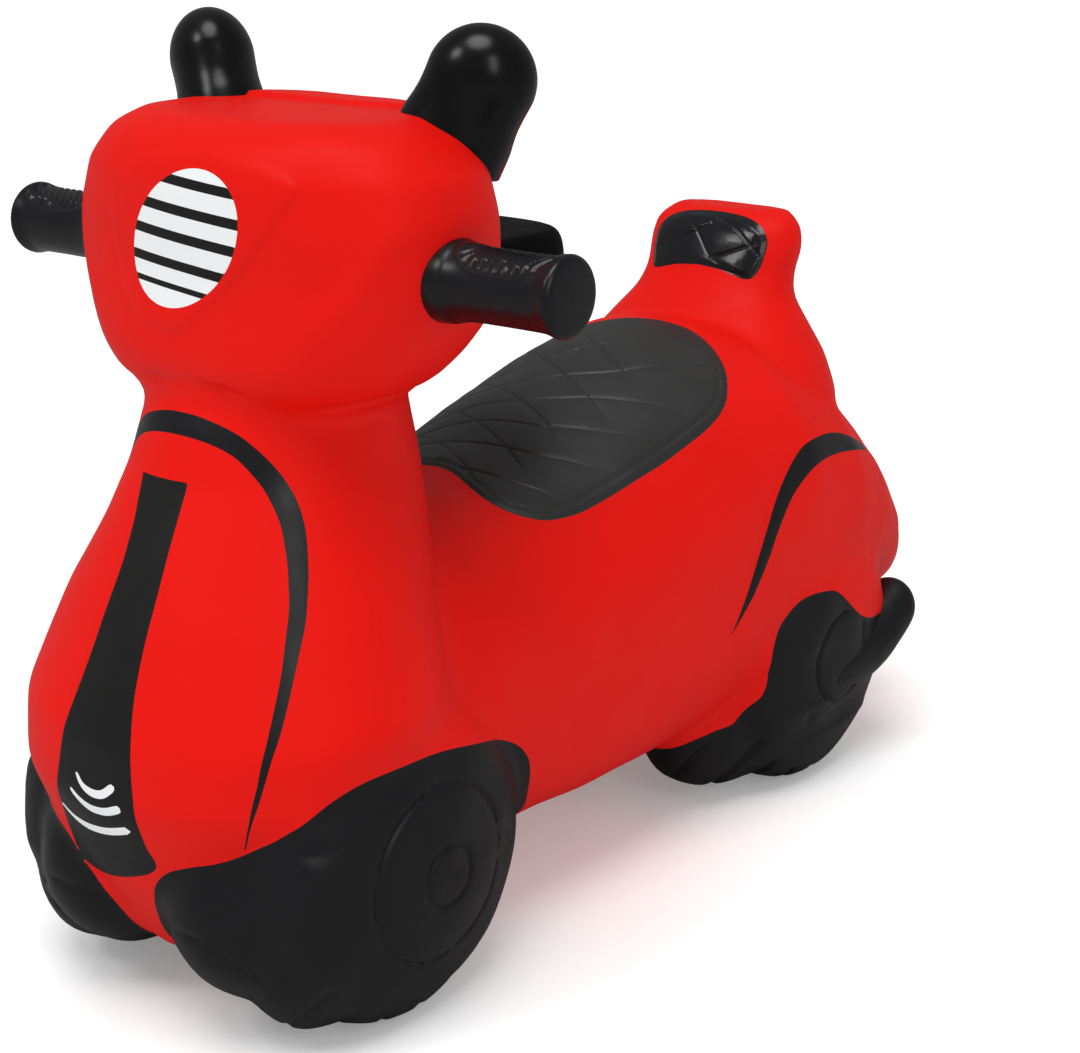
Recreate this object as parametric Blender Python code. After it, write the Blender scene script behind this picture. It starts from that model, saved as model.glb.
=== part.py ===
"""Inflatable hop scooter: a hollow soft vinyl skin in moulded, separately coloured zones.

The real toy is one rotationally moulded skin with sprayed colour zones and a needle valve. Here each
moulded zone is a wall of its own, so that every finish is a separate piece. The zones meet edge to edge
along the paint and mould lines, with the clearance SEAM between them.

+X is the scooter's left side, -Y its front and +Z is up. Lengths are in metres. Profile rows are drawn
from the handlebar's axis (y = 0), and the finished toy is moved so that its origin is under the middle
of its box.
"""
import bpy
import bmesh
import math
from mathutils import Matrix, Vector

# Overall sizes. The rows below are drawn for the first value of each pair.
LENGTH, DRAWN_LENGTH = 0.568, 0.568
HEIGHT, DRAWN_HEIGHT = 0.382, 0.382
WIDTH, DRAWN_WIDTH = 0.212, 0.212

# How deep a fitting's foot is sunk before it is cut to the skin, and how far a cutting tool reaches past it
SINK = 0.012
PAST = 0.3

# Skin
WALL = 0.003
SEAM = 0.0003
BLEND_GRID = 0.005
BLEND_PASSES = 6
SKIN_FACES = 1450

# Wheels: radius of the tread, axle places, and how far the air pressure flattens the tread
FRONT_RADIUS = 0.075
REAR_RADIUS = 0.0745
FRONT_AXLE_Y = -0.0155
REAR_AXLE_Y = 0.311
TREAD_SINK = 0.003
HUB_RADIUS = 0.0138
DISC_SHARE = 0.53
GROOVE = 0.0012
GROOVE_WIDTH = 0.0016

# Slanted slots across the lower half of each tread: how many, angle between them, size, slant, place across
SLOT_COUNT = 8
SLOT_PITCH = math.radians(24)
SLOT_WIDTH = 0.0050
SLOT_LENGTH = 0.038
SLOT_DEPTH = 0.0018
SLOT_SLANT = math.radians(20)
SLOT_X = 0.076

# Bar grips
GRIP_RADIUS = 0.0150
GRIP_FLARE = 0.0165
GRIP_SPAN = 0.314
GRIP_Y = 0.002
GRIP_HEIGHT = 0.322
GRIP_FOOT = 0.007
GRIP_FLANGE = 0.010
GRIP_ROUND = 0.002

# Ribs on the top of each grip, as the slots between them
RIB_COUNT = 9
RIB_PITCH = 0.0058
RIB_SLOT_WIDTH = 0.0018
RIB_SLOT_LENGTH = 0.020
RIB_SLOT_DEPTH = 0.0010
RIB_SLANT = math.radians(20)

# Mirrors
MIRROR_RADIUS = 0.0222
MIRROR_LENGTH = 0.0465
MIRROR_FOOT = (0.0455, 0.030, 0.3300)
MIRROR_LEAN = math.radians(30)
MIRROR_SWEEP = math.radians(4)
# Its rows below the dome: distance from the head, share of the radius. None stands for the dome's start.
MIRROR_ROWS = ((0.0, 1.09), (0.007, 1.0), (0.016, 0.965), (None, 1.0))

# Headlight
LIGHT_RADIUS = 0.0293
LIGHT_HEIGHT = 0.3352

# Seat pad, drawn from above: an oval that widens to the rear, and the heights between which it is cut
SEAT_HALF_WIDTH = 0.070
SEAT_FRONT_Y = 0.084
SEAT_REAR_Y = 0.276
SEAT_SQUARENESS = 3.4
SEAT_WIDENING = 0.06
SEAT_LOW, SEAT_HIGH = 0.170, 0.262

# Dash boss on the back of the head
DASH_HALF_WIDTH = 0.055
DASH_ROOT = 0.040
DASH_REACH = 0.138
DASH_LOW = 0.292
DASH_TOP = 0.328
DASH_SQUARENESS = 4.0
# Its rows: share of the height, how far the back draws in, how far each side draws in
DASH_ROWS = (
    (0.0, 0.014, 0.010), (0.16, 0.004, 0.002), (0.5, 0.0, 0.0), (0.79, 0.003, 0.002), (1.0, 0.013, 0.010),
)

# Exhaust moulded beside the left rear wheel: its size, and its rows of distance back, height, share of size
EXHAUST_RADIUS = 0.0130
EXHAUST_X = 0.092
EXHAUST = (
    (0.262, 0.0600, 0.45), (0.271, 0.0600, 0.85), (0.290, 0.0600, 1.10), (0.335, 0.0605, 1.28),
    (0.358, 0.0645, 1.32), (0.374, 0.0715, 1.30), (0.384, 0.0765, 1.26), (0.389, 0.0780, 1.14),
    (0.392, 0.0790, 0.88),
)

# Needle valve in the belly
VALVE_Y = 0.120
VALVE_BOSS_RADIUS = 0.0110
VALVE_CORE_RADIUS = 0.0045
VALVE_SLIT_RADIUS = 0.0010
VALVE_PROUD = 0.0012
VALVE_DEPTH = 0.006
VALVE_HEAD = 0.0020

# Column rows: height, front, back, half width, squareness
COLUMN = (
    (0.030, -0.078, 0.020, 0.028, 2.1),
    (0.045, -0.089, 0.040, 0.050, 2.1),
    (0.076, -0.105, 0.050, 0.080, 2.1),
    (0.113, -0.117, 0.055, 0.096, 2.1),
    (0.139, -0.114, 0.055, 0.097, 2.1),
    (0.185, -0.094, 0.055, 0.080, 2.1),
    (0.215, -0.078, 0.060, 0.066, 2.1),
    (0.238, -0.066, 0.060, 0.058, 2.1),
    (0.262, -0.060, 0.058, 0.054, 2.1),
    (0.285, -0.056, 0.052, 0.053, 2.1),
)

# Head rows, in the same terms
HEAD = (
    (0.264, -0.044, 0.045, 0.056, 2.4),
    (0.275, -0.046, 0.060, 0.073, 2.5),
    (0.295, -0.048, 0.073, 0.092, 2.5),
    (0.320, -0.050, 0.080, 0.102, 2.5),
    (0.342, -0.051, 0.081, 0.103, 2.4),
    (0.360, -0.050, 0.078, 0.095, 2.3),
    (0.374, -0.045, 0.072, 0.079, 2.2),
    (0.382, -0.032, 0.058, 0.062, 2.2),
)

# Body rows: distance back, underside, top, half width, squareness of the top and of the underside
BODY = (
    (0.000, 0.040, 0.208, 0.080, 2.3, 2.6),
    (0.045, 0.040, 0.204, 0.088, 2.3, 2.8),
    (0.090, 0.040, 0.2035, 0.090, 2.2, 3.0),
    (0.130, 0.038, 0.2125, 0.092, 2.1, 3.1),
    (0.170, 0.037, 0.2260, 0.094, 2.1, 3.1),
    (0.230, 0.037, 0.2425, 0.097, 2.1, 3.0),
    (0.290, 0.042, 0.248, 0.101, 2.2, 2.6),
    (0.340, 0.050, 0.237, 0.099, 2.0, 2.3),
    (0.380, 0.055, 0.206, 0.091, 2.0, 2.1),
    (0.415, 0.056, 0.170, 0.078, 2.0, 2.2),
    (0.438, 0.066, 0.142, 0.064, 2.0, 2.2),
    (0.450, 0.084, 0.118, 0.042, 2.0, 2.0),
)

# Backrest rows, in the column's terms
BACKREST = (
    (0.215, 0.300, 0.380, 0.070, 2.2),
    (0.240, 0.312, 0.369, 0.051, 2.2),
    (0.262, 0.322, 0.368, 0.042, 2.3),
    (0.280, 0.327, 0.376, 0.043, 2.4),
    (0.293, 0.333, 0.374, 0.041, 2.4),
    (0.301, 0.343, 0.372, 0.031, 2.4),
)

# Wheel rows: distance out from the middle plane, share of the tread radius
FRONT_WHEEL = (
    (0.028, 0.60), (0.042, 0.85), (0.056, 0.967), (0.072, 1.0), (0.086, 0.94), (0.095, 0.77),
    (0.100, 0.56), (0.104, 0.36), (0.106, 0.16),
)
REAR_WHEEL = (
    (0.028, 0.60), (0.042, 0.85), (0.056, 0.967), (0.072, 1.0), (0.086, 0.96), (0.095, 0.84),
    (0.100, 0.68), (0.104, 0.46), (0.106, 0.20),
)

# The two front zones keep this far from the middle plane
MIDDLE_GAP = 0.0005

# Bulges that join the wheels to the apron and to the belly: centre, half sizes
NOSE = ((0.044, -0.060, 0.062), (0.036, 0.046, 0.047))
KEEL = ((0.056, 0.245, 0.050), (0.034, 0.056, 0.039))

# Edge of a front wheel zone, seen from the side: distance back, height
FRONT_ZONE_SIDE = (
    (-0.105, 0.087), (-0.092, 0.101), (-0.068, 0.115), (-0.036, 0.126), (-0.010, 0.1275),
    (0.019, 0.121), (0.046, 0.110), (0.064, 0.091), (0.077, 0.068), (0.082, 0.020),
)
# The same edge from the front, near the middle: distance out, height
FRONT_ZONE_FACE = (
    (0.0065, 0.020), (0.0065, 0.047), (0.0100, 0.061), (0.0215, 0.077), (0.0300, 0.087), (0.0480, 0.0975),
)

# Edge of a rear wheel zone from the side
REAR_ZONE_SIDE = (
    (0.150, 0.020), (0.166, 0.041), (0.203, 0.045), (0.236, 0.052), (0.245, 0.082), (0.254, 0.100),
    (0.266, 0.109), (0.283, 0.1125), (0.302, 0.110), (0.320, 0.100), (0.338, 0.084), (0.356, 0.070),
    (0.378, 0.040), (0.381, 0.010),
)
REAR_ZONE_INNER_X = 0.030

# Edge of the backrest pad from the front, half of it, and the distances back between which it is cut
REST_PAD_HALF = ((0.0300, 0.2665), (0.0320, 0.2800), (0.0285, 0.2915), (0.0180, 0.2975))
REST_PAD_FOOT, REST_PAD_TOP = 0.2650, 0.2990
REST_PAD_FRONT_Y, REST_PAD_REAR_Y = 0.280, 0.352

# Rear stripe from the side: upper and lower edge
REAR_STRIPE_UPPER = (
    (0.2205, 0.108), (0.236, 0.150), (0.262, 0.181), (0.289, 0.191), (0.3226, 0.190), (0.352, 0.172),
)
REAR_STRIPE_LOWER = ((0.322, 0.182), (0.295, 0.181), (0.272, 0.168), (0.249, 0.141))

# Apron stripes from the front
ARCH_OUTER = (
    (0.0, 0.266), (0.014, 0.2645), (0.026, 0.260), (0.036, 0.252), (0.0445, 0.241), (0.053, 0.2255),
    (0.060, 0.211), (0.0655, 0.199), (0.070, 0.183), (0.073, 0.160), (0.073, 0.136), (0.0685, 0.110),
)
ARCH_INNER = (
    (0.068, 0.162), (0.0655, 0.184), (0.060, 0.201), (0.0555, 0.212), (0.0465, 0.2285), (0.037, 0.2415),
    (0.027, 0.2505), (0.0137, 0.2572), (0.0, 0.2585),
)
CENTRE_STRIPE = (
    (0.0135, 0.238), (0.0145, 0.218), (0.0163, 0.195), (0.0185, 0.160), (0.0225, 0.140), (0.0270, 0.118),
    (0.0275, 0.100), (0.0240, 0.084), (0.0140, 0.074), (0.0, 0.071),
)

# Finishes: colour, roughness
RED = ((0.72, 0.015, 0.012, 1.0), 0.38)
BLACK = ((0.018, 0.018, 0.020, 1.0), 0.32)
GLOSS_BLACK = ((0.012, 0.012, 0.014, 1.0), 0.16)
WHITE = ((0.85, 0.87, 0.87, 1.0), 0.40)
RUBBER = ((0.10, 0.10, 0.11, 1.0), 0.60)


def stretched(x, y, z):
    """Moves a drawn point with the overall sizes."""
    return Vector((x * WIDTH / DRAWN_WIDTH, y * LENGTH / DRAWN_LENGTH, z * HEIGHT / DRAWN_HEIGHT))


def add_object(name, mesh):
    """Turns a bmesh into a linked object."""
    bmesh.ops.recalc_face_normals(mesh, faces=mesh.faces)
    data = bpy.data.meshes.new(name)
    mesh.to_mesh(data)
    mesh.free()
    thing = bpy.data.objects.new(name, data)
    bpy.context.collection.objects.link(thing)
    return thing


def discard(thing):
    """Removes an object that was only a tool."""
    bpy.data.objects.remove(thing)


def duplicate(thing, name):
    """Copies an object with a mesh of its own."""
    copy = bpy.data.objects.new(name, thing.data.copy())
    bpy.context.collection.objects.link(copy)
    return copy


def settle(thing):
    """Applies an object's modifiers to its mesh."""
    graph = bpy.context.evaluated_depsgraph_get()
    data = bpy.data.meshes.new_from_object(thing.evaluated_get(graph))
    thing.modifiers.clear()
    old = thing.data
    thing.data = data
    bpy.data.meshes.remove(old)
    return thing


def combine(thing, tool, operation, keep_tool=False):
    """Applies a Boolean of a tool to an object."""
    modifier = thing.modifiers.new("combine", "BOOLEAN")
    modifier.operation = operation
    modifier.solver = "EXACT"
    modifier.object = tool
    settle(thing)
    if not keep_tool:
        discard(tool)
    return thing


def superellipse(half_u, half_v, power, count=32):
    """Points of a closed oval whose squareness is its power."""
    points = []
    for step in range(count):
        angle = math.tau * step / count
        cosine, sine = math.cos(angle), math.sin(angle)
        points.append((
            half_u * math.copysign(abs(cosine) ** (2 / power), cosine),
            half_v * math.copysign(abs(sine) ** (2 / power), sine),
        ))
    return points


def loft(name, rings):
    """Skins closed rings of equal point counts and caps both ends."""
    mesh = bmesh.new()
    loops = [[mesh.verts.new(point) for point in ring] for ring in rings]
    count = len(loops[0])
    for low, high in zip(loops, loops[1:]):
        for i in range(count):
            j = (i + 1) % count
            mesh.faces.new((low[i], low[j], high[j], high[i]))
    mesh.faces.new(list(reversed(loops[0])))
    mesh.faces.new(loops[-1])
    return add_object(name, mesh)


def level_rings(rows, count=32):
    """Level rings of a standing form."""
    rings = []
    for z, front, back, half, power in rows:
        middle, depth = (front + back) / 2, (back - front) / 2
        rings.append([stretched(x, middle + y, z) for x, y in superellipse(half, depth, power, count)])
    return rings


def cross_rings(rows):
    """Upright rings of a form that runs from front to back."""
    rings = []
    for y, bottom, top, half, top_power, under_power in rows:
        middle, height = (bottom + top) / 2, (top - bottom) / 2
        upper = superellipse(half, height, top_power)
        under = superellipse(half, height, under_power)
        section = [high if high[1] >= 0 else low for high, low in zip(upper, under)]
        rings.append([stretched(x, y, middle + z) for x, z in section])
    return rings


def wheel_centre(y, radius):
    """Height and place of a wheel's axle, in the drawn frame."""
    return stretched(0, y, 0).y, radius - TREAD_SINK


def wheel_rings(rows, side, y, radius):
    """Rings of a wheel bulge, from its inner to its outer face."""
    axle_y, axle_z = wheel_centre(y, radius)
    rings = []
    for out, share in rows:
        x = side * stretched(out, 0, 0).x
        round_row = superellipse(radius * share, radius * share, 2.0)
        rings.append([(x, axle_y + u, axle_z + v) for u, v in round_row])
    return rings


def bulge(name, side, centre, halves):
    """An egg-shaped bulge."""
    mesh = bmesh.new()
    bmesh.ops.create_uvsphere(mesh, u_segments=32, v_segments=16, radius=1)
    bmesh.ops.scale(mesh, vec=stretched(*halves), verts=mesh.verts)
    bmesh.ops.translate(mesh, vec=stretched(side * centre[0], centre[1], centre[2]), verts=mesh.verts)
    return add_object(name, mesh)


def prism(name, outline, axis, start, end):
    """Extrudes a closed outline along an axis. The outline's pairs are the two other axes in order."""
    mesh = bmesh.new()
    ends = []
    for reach in (start, end):
        row = []
        for u, v in outline:
            point = {"x": (reach, u, v), "y": (u, reach, v), "z": (u, v, reach)}[axis]
            row.append(mesh.verts.new(point))
        ends.append(row)
    count = len(outline)
    for i in range(count):
        j = (i + 1) % count
        mesh.faces.new((ends[0][i], ends[0][j], ends[1][j], ends[1][i]))
    mesh.faces.new(list(reversed(ends[0])))
    mesh.faces.new(ends[1])
    return add_object(name, mesh)


def grown(outline, distance):
    """Moves a closed outline outwards by a distance."""
    area = sum(a[0] * b[1] - b[0] * a[1] for a, b in zip(outline, outline[1:] + outline[:1]))
    turn = 1 if area > 0 else -1
    moved = []
    count = len(outline)
    for i, point in enumerate(outline):
        before, here, after = Vector(outline[i - 1]), Vector(point), Vector(outline[(i + 1) % count])
        first, second = (here - before).normalized(), (after - here).normalized()
        normals = [Vector((d.y, -d.x)) * turn for d in (first, second)]
        middle = (normals[0] + normals[1]).normalized()
        reach = distance / max(middle.dot(normals[0]), 0.5)
        moved.append(tuple(here + middle * reach))
    return moved


def smooth_line(points, steps=2):
    """Adds points between an open line's points on a smooth curve through them."""
    line = [Vector(p) for p in points]
    result = []
    for i in range(len(line) - 1):
        p0 = line[max(i - 1, 0)]
        p1, p2 = line[i], line[i + 1]
        p3 = line[min(i + 2, len(line) - 1)]
        for step in range(steps):
            t = step / steps
            point = 0.5 * ((2 * p1) + (p2 - p0) * t + (2 * p0 - 5 * p1 + 4 * p2 - p3) * t * t
                           + (3 * p1 - p0 - 3 * p2 + p3) * t * t * t)
            result.append(tuple(point))
    result.append(tuple(line[-1]))
    return result


def side_outline(points):
    """Drawn side-view pairs as real ones."""
    return [(stretched(0, y, 0).y, stretched(0, 0, z).z) for y, z in points]


def face_outline(points, side=1):
    """Drawn front-view pairs as real ones, on one side of the middle."""
    return [(side * stretched(x, 0, 0).x, stretched(0, 0, z).z) for x, z in points]


def circle(centre_u, centre_v, radius, count=32):
    """Points of a circle."""
    angles = [math.tau * i / count for i in range(count)]
    return [(centre_u + radius * math.cos(angle), centre_v + radius * math.sin(angle)) for angle in angles]


def mirrored_outline(half):
    """Closes a half outline, drawn at positive x from top to bottom or back, over the middle."""
    left = [(-x, z) for x, z in reversed(half) if x > 0]
    return list(half) + left


def blended_form():
    """The outer form of the skin: lofted and round forms, blended, cut level at the floor."""
    forms = [
        loft("column", level_rings(COLUMN)),
        loft("head", level_rings(HEAD)),
        loft("body", cross_rings(BODY)),
        loft("backrest", level_rings(BACKREST)),
    ]
    for side in (1, -1):
        forms.append(loft("front_wheel", wheel_rings(FRONT_WHEEL, side, FRONT_AXLE_Y, FRONT_RADIUS)))
        forms.append(loft("rear_wheel", wheel_rings(REAR_WHEEL, side, REAR_AXLE_Y, REAR_RADIUS)))
        forms.append(bulge("nose", side, *NOSE))
        forms.append(bulge("keel", side, *KEEL))
    mesh = bmesh.new()
    for form in forms:
        mesh.from_mesh(form.data)
        discard(form)
    form = add_object("form", mesh)
    blend = form.modifiers.new("blend", "REMESH")
    blend.mode = "VOXEL"
    blend.voxel_size = BLEND_GRID
    smooth = form.modifiers.new("smooth", "SMOOTH")
    smooth.factor = 0.5
    smooth.iterations = BLEND_PASSES
    settle(form)
    thin = form.modifiers.new("thin", "DECIMATE")
    thin.ratio = SKIN_FACES / (2 * len(form.data.polygons))
    pair = form.modifiers.new("pair", "MIRROR")
    pair.use_axis = (True, False, False)
    pair.use_bisect_axis = (True, False, False)
    pair.use_clip = True
    pair.merge_threshold = 0.0001
    settle(form)
    mesh = bmesh.new()
    mesh.from_mesh(form.data)
    floor = bmesh.ops.bisect_plane(mesh, geom=mesh.verts[:] + mesh.edges[:] + mesh.faces[:],
                                   plane_co=(0, 0, 0), plane_no=(0, 0, -1), clear_outer=True)
    rim = [item for item in floor["geom_cut"] if isinstance(item, bmesh.types.BMEdge)]
    bmesh.ops.holes_fill(mesh, edges=rim)
    bmesh.ops.triangulate(mesh, faces=[face for face in mesh.faces if len(face.verts) > 4])
    discard(form)
    return add_object("form", mesh)


def offset_copy(form, distance, name):
    """The form moved out, or in, along its surface."""
    copy = duplicate(form, name)
    move = copy.modifiers.new("move", "DISPLACE")
    move.mid_level = 0
    move.strength = distance
    return settle(copy)


def finish(thing, look):
    """Gives an object its own material and smooth faces."""
    colour, roughness = look
    material = bpy.data.materials.new(thing.name)
    material.use_nodes = True
    shader = material.node_tree.nodes["Principled BSDF"]
    shader.inputs["Base Color"].default_value = colour
    shader.inputs["Roughness"].default_value = roughness
    shader.inputs["Metallic"].default_value = 0.0
    material.diffuse_color = colour
    thing.data.materials.clear()
    thing.data.materials.append(material)
    thing.data.shade_smooth()
    thing.data.set_sharp_from_angle(angle=math.radians(35))
    return thing


def take_zone(name, skin, shell, tool, wide_tool, look):
    """Takes one zone out of the skin's wall, and clears the seam round it."""
    zone = duplicate(shell, name)
    combine(zone, tool, "INTERSECT")
    combine(skin, wide_tool, "DIFFERENCE")
    return finish(zone, look)


def front_zone_tool(side, grow):
    """The space of one front wheel zone."""
    top = smooth_line(FRONT_ZONE_SIDE)
    outline = side_outline([(-0.140, 0.087)] + top + [(0.082, -0.020), (-0.140, -0.020)])
    across = prism("across", grown(outline, grow), "x", side * MIDDLE_GAP, side * PAST)
    inner = smooth_line(FRONT_ZONE_FACE)
    beyond = [(0.060, 0.150), (0.200, 0.150), (0.200, -0.020)]
    outline = face_outline([(0.0065, -0.020)] + inner + beyond, side)
    along = prism("along", grown(outline, grow), "y", -PAST, PAST)
    return combine(across, along, "INTERSECT")


def rear_zone_tool(side, grow):
    """The space of one rear wheel zone."""
    outline = side_outline(REAR_ZONE_SIDE + ((0.375, -0.020), (0.150, -0.020)))
    inner = side * (stretched(REAR_ZONE_INNER_X, 0, 0).x - grow)
    return prism("across", grown(outline, grow), "x", inner, side * PAST)


def seat_tool(grow):
    """The space of the seat pad."""
    front, rear = stretched(0, SEAT_FRONT_Y, 0).y, stretched(0, SEAT_REAR_Y, 0).y
    middle, half = (front + rear) / 2, (rear - front) / 2
    oval = superellipse(SEAT_HALF_WIDTH, half, SEAT_SQUARENESS, 36)
    outline = [(x * (1 + SEAT_WIDENING * y / half), middle + y) for x, y in oval]
    return prism("seat", grown(outline, grow), "z", stretched(0, 0, SEAT_LOW).z, stretched(0, 0, SEAT_HIGH).z)


def stripe_outline(outer, inner):
    """Closes an arch drawn on one side, tip to middle, over both sides."""
    left_outer = [(-x, z) for x, z in reversed(outer) if x > 0]
    left_inner = [(-x, z) for x, z in reversed(inner) if x > 0]
    return left_outer + list(outer + inner) + left_inner


def turned(name, profile, centre, axis=Vector((0, 0, 1)), count=32):
    """Turns an open profile of (distance along, radius) pairs about an axis and caps its ends."""
    turn = Vector((0, 0, 1)).rotation_difference(axis).to_matrix()
    rings = []
    for along, radius in profile:
        rings.append([centre + turn @ Vector((x, y, along)) for x, y in circle(0, 0, radius, count)])
    return loft(name, rings)


def wall_point(form, origin, direction):
    """Where a line from outside first meets the skin."""
    found, point, _, _ = form.ray_cast(origin, direction)
    if not found:
        raise ValueError("the skin has no wall there")
    return point


def hollow_fitting(name, form, skin, outer, bore, look):
    """A hollow moulding that stands on the skin, open to the skin's inside."""
    combine(skin, bore, "DIFFERENCE", keep_tool=True)
    combine(outer, bore, "DIFFERENCE")
    near = offset_copy(form, SEAM, "near")
    combine(outer, near, "DIFFERENCE")
    outer.name = name
    outer.data.name = name
    return finish(outer, look)


def slots(places, size, slant):
    """Boxes that cut slots. Each place is a matrix whose X runs along the slot and whose Z is its depth."""
    mesh = bmesh.new()
    turn = Matrix.Rotation(slant, 4, "Z")
    for place in places:
        bmesh.ops.create_cube(mesh, size=1, matrix=place @ turn @ Matrix.Diagonal((*size, 1)))
    return add_object("slots", mesh)


def grip(side, word, form, skin):
    """A bar grip with a flared foot, a flanged end and ribs on its top."""
    origin = stretched(side * PAST, GRIP_Y, GRIP_HEIGHT)
    seat = wall_point(form, origin, Vector((-side, 0, 0)))
    length = GRIP_SPAN / 2 - abs(seat.x)
    rows = (
        (-SINK, GRIP_FLARE), (0.001, GRIP_FLARE), (GRIP_FOOT, GRIP_RADIUS),
        (length - GRIP_FLANGE, GRIP_RADIUS),
        (length - 2 * GRIP_ROUND - GROOVE_WIDTH, GRIP_FLARE), (length - GRIP_ROUND, GRIP_FLARE),
        (length, GRIP_RADIUS),
    )
    bore_rows = [(-SINK - WALL, rows[0][1] - WALL)]
    bore_rows += [(along, radius - WALL) for along, radius in rows[1:4]]
    bore_rows += [(length - WALL, GRIP_RADIUS - WALL)]
    axis = Vector((side, 0, 0))
    outer = turned("grip", rows, seat, axis, 16)
    bore = turned("bore", bore_rows, seat, axis, 16)
    top = seat + Vector((0, 0, GRIP_RADIUS))
    first = (GRIP_FOOT + length - GRIP_FLANGE - (RIB_COUNT - 1) * RIB_PITCH) / 2
    across = Matrix.Rotation(math.pi / 2, 4, "Z")
    places = [Matrix.Translation(top + axis * (first + i * RIB_PITCH)) @ across for i in range(RIB_COUNT)]
    size = (RIB_SLOT_LENGTH, RIB_SLOT_WIDTH, 2 * RIB_SLOT_DEPTH)
    combine(outer, slots(places, size, side * RIB_SLANT), "DIFFERENCE")
    return hollow_fitting(word + "_grip", form, skin, outer, bore, BLACK)


def mirror(side, word, form, skin):
    """A domed mirror that leans outwards from the head's shoulder."""
    axis = Vector((side * math.sin(MIRROR_LEAN), math.sin(MIRROR_SWEEP), math.cos(MIRROR_LEAN))).normalized()
    foot = stretched(side * MIRROR_FOOT[0], MIRROR_FOOT[1], MIRROR_FOOT[2])
    seat = wall_point(form, foot + axis * PAST, -axis)
    top = MIRROR_LENGTH - MIRROR_RADIUS
    rows = [(top if along is None else along, share * MIRROR_RADIUS) for along, share in MIRROR_ROWS]
    profile = [(-SINK, rows[0][1])] + rows
    inner = [(-SINK - WALL, rows[0][1] - WALL)] + [(along, radius - WALL) for along, radius in rows]
    for step in (1, 2, 3):
        angle = math.radians(26 * step)
        profile.append((top + MIRROR_RADIUS * math.sin(angle), MIRROR_RADIUS * math.cos(angle)))
        hollow = MIRROR_RADIUS - WALL
        inner.append((top + hollow * math.sin(angle), hollow * math.cos(angle)))
    outer = turned("mirror", profile, seat, axis, 16)
    bore = turned("bore", inner, seat, axis, 16)
    return hollow_fitting(word + "_mirror", form, skin, outer, bore, GLOSS_BLACK)


def dash_boss(form, skin):
    """The raised black boss on the rider's side of the head."""
    def rings(wall):
        low, high = DASH_LOW + wall, DASH_TOP - wall
        rows = [(low + (high - low) * share, DASH_ROOT, DASH_REACH - back - wall, DASH_HALF_WIDTH - side - wall,
                 DASH_SQUARENESS) for share, back, side in DASH_ROWS]
        return level_rings(rows, 20)

    return hollow_fitting("dash_boss", form, skin, loft("dash", rings(0)), loft("bore", rings(WALL)), BLACK)


def exhaust(form):
    """The exhaust moulded along the outside of the left rear wheel, open to the wheel's inside."""
    rings, inner = [], []
    for y, height, share in EXHAUST:
        centre = stretched(EXHAUST_X, y, height)
        for ring, radius in ((rings, EXHAUST_RADIUS * share), (inner, EXHAUST_RADIUS * share - WALL)):
            ring.append([centre + Vector((x, 0, z)) for x, z in circle(0, 0, radius, 14)])
    end = Vector((0, WALL, 0))
    inner[0] = [point + end for point in inner[0]]
    inner[-1] = [point - end for point in inner[-1]]
    outer, bore = loft("exhaust_pipe", rings), loft("bore", inner)
    combine(outer, bore, "DIFFERENCE")
    combine(outer, offset_copy(form, SEAM, "near"), "DIFFERENCE")
    return finish(outer, BLACK)


def closed_turn(name, profile, centre, count=16):
    """Turns a closed profile of (distance up, radius) pairs about the vertical."""
    mesh = bmesh.new()
    loops = [[mesh.verts.new(centre + Vector((x, y, along))) for x, y in circle(0, 0, radius, count)]
             for along, radius in profile]
    for first, second in zip(loops, loops[1:] + loops[:1]):
        for i in range(count):
            j = (i + 1) % count
            mesh.faces.new((first[i], first[j], second[j], second[i]))
    return add_object(name, mesh)


def valve(form, skin):
    """The moulded valve boss in the belly, and the rubber core that takes an inflating needle."""
    below = Vector((0, stretched(0, VALVE_Y, 0).y, -PAST))
    seat = wall_point(form, below, Vector((0, 0, 1)))
    hole = prism("hole", circle(seat.x, seat.y, VALVE_BOSS_RADIUS + SEAM, 24), "z", seat.z - 0.02, seat.z + 0.02)
    combine(skin, hole, "DIFFERENCE")
    low, high = -VALVE_PROUD, WALL + VALVE_DEPTH
    head, stem, tail = VALVE_CORE_RADIUS + 0.002, VALVE_CORE_RADIUS, VALVE_CORE_RADIUS + 0.0015
    ledge = low + VALVE_HEAD
    boss = closed_turn("valve_boss", (
        (low, VALVE_BOSS_RADIUS), (low, head + SEAM),
        (ledge + SEAM, head + SEAM), (ledge + SEAM, stem + SEAM),
        (high, stem + SEAM), (high, VALVE_BOSS_RADIUS),
    ), seat)
    core = turned("valve_core", (
        (low + 0.0003, head), (ledge, head), (ledge + 0.0001, stem), (high + SEAM, stem),
        (high + SEAM + 0.0001, tail), (high + 0.0020, tail), (high + 0.0040, stem),
    ), seat, count=16)
    slit = prism("slit", circle(seat.x, seat.y, VALVE_SLIT_RADIUS, 8), "z", seat.z - 0.01, seat.z + high - 0.001)
    combine(core, slit, "DIFFERENCE")
    return finish(boss, RED), finish(core, RUBBER)


def ring_tool(side, y, radius, ring_radius, count):
    """A ring round a wheel's axle."""
    axle_y, axle_z = wheel_centre(y, radius)
    start = side * SLOT_X / 2
    outer = prism("ring", circle(axle_y, axle_z, ring_radius + GROOVE_WIDTH / 2, count), "x", start, side * PAST)
    inner = prism("core", circle(axle_y, axle_z, ring_radius - GROOVE_WIDTH / 2, count), "x", 0, 2 * side * PAST)
    return combine(outer, inner, "DIFFERENCE")


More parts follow.
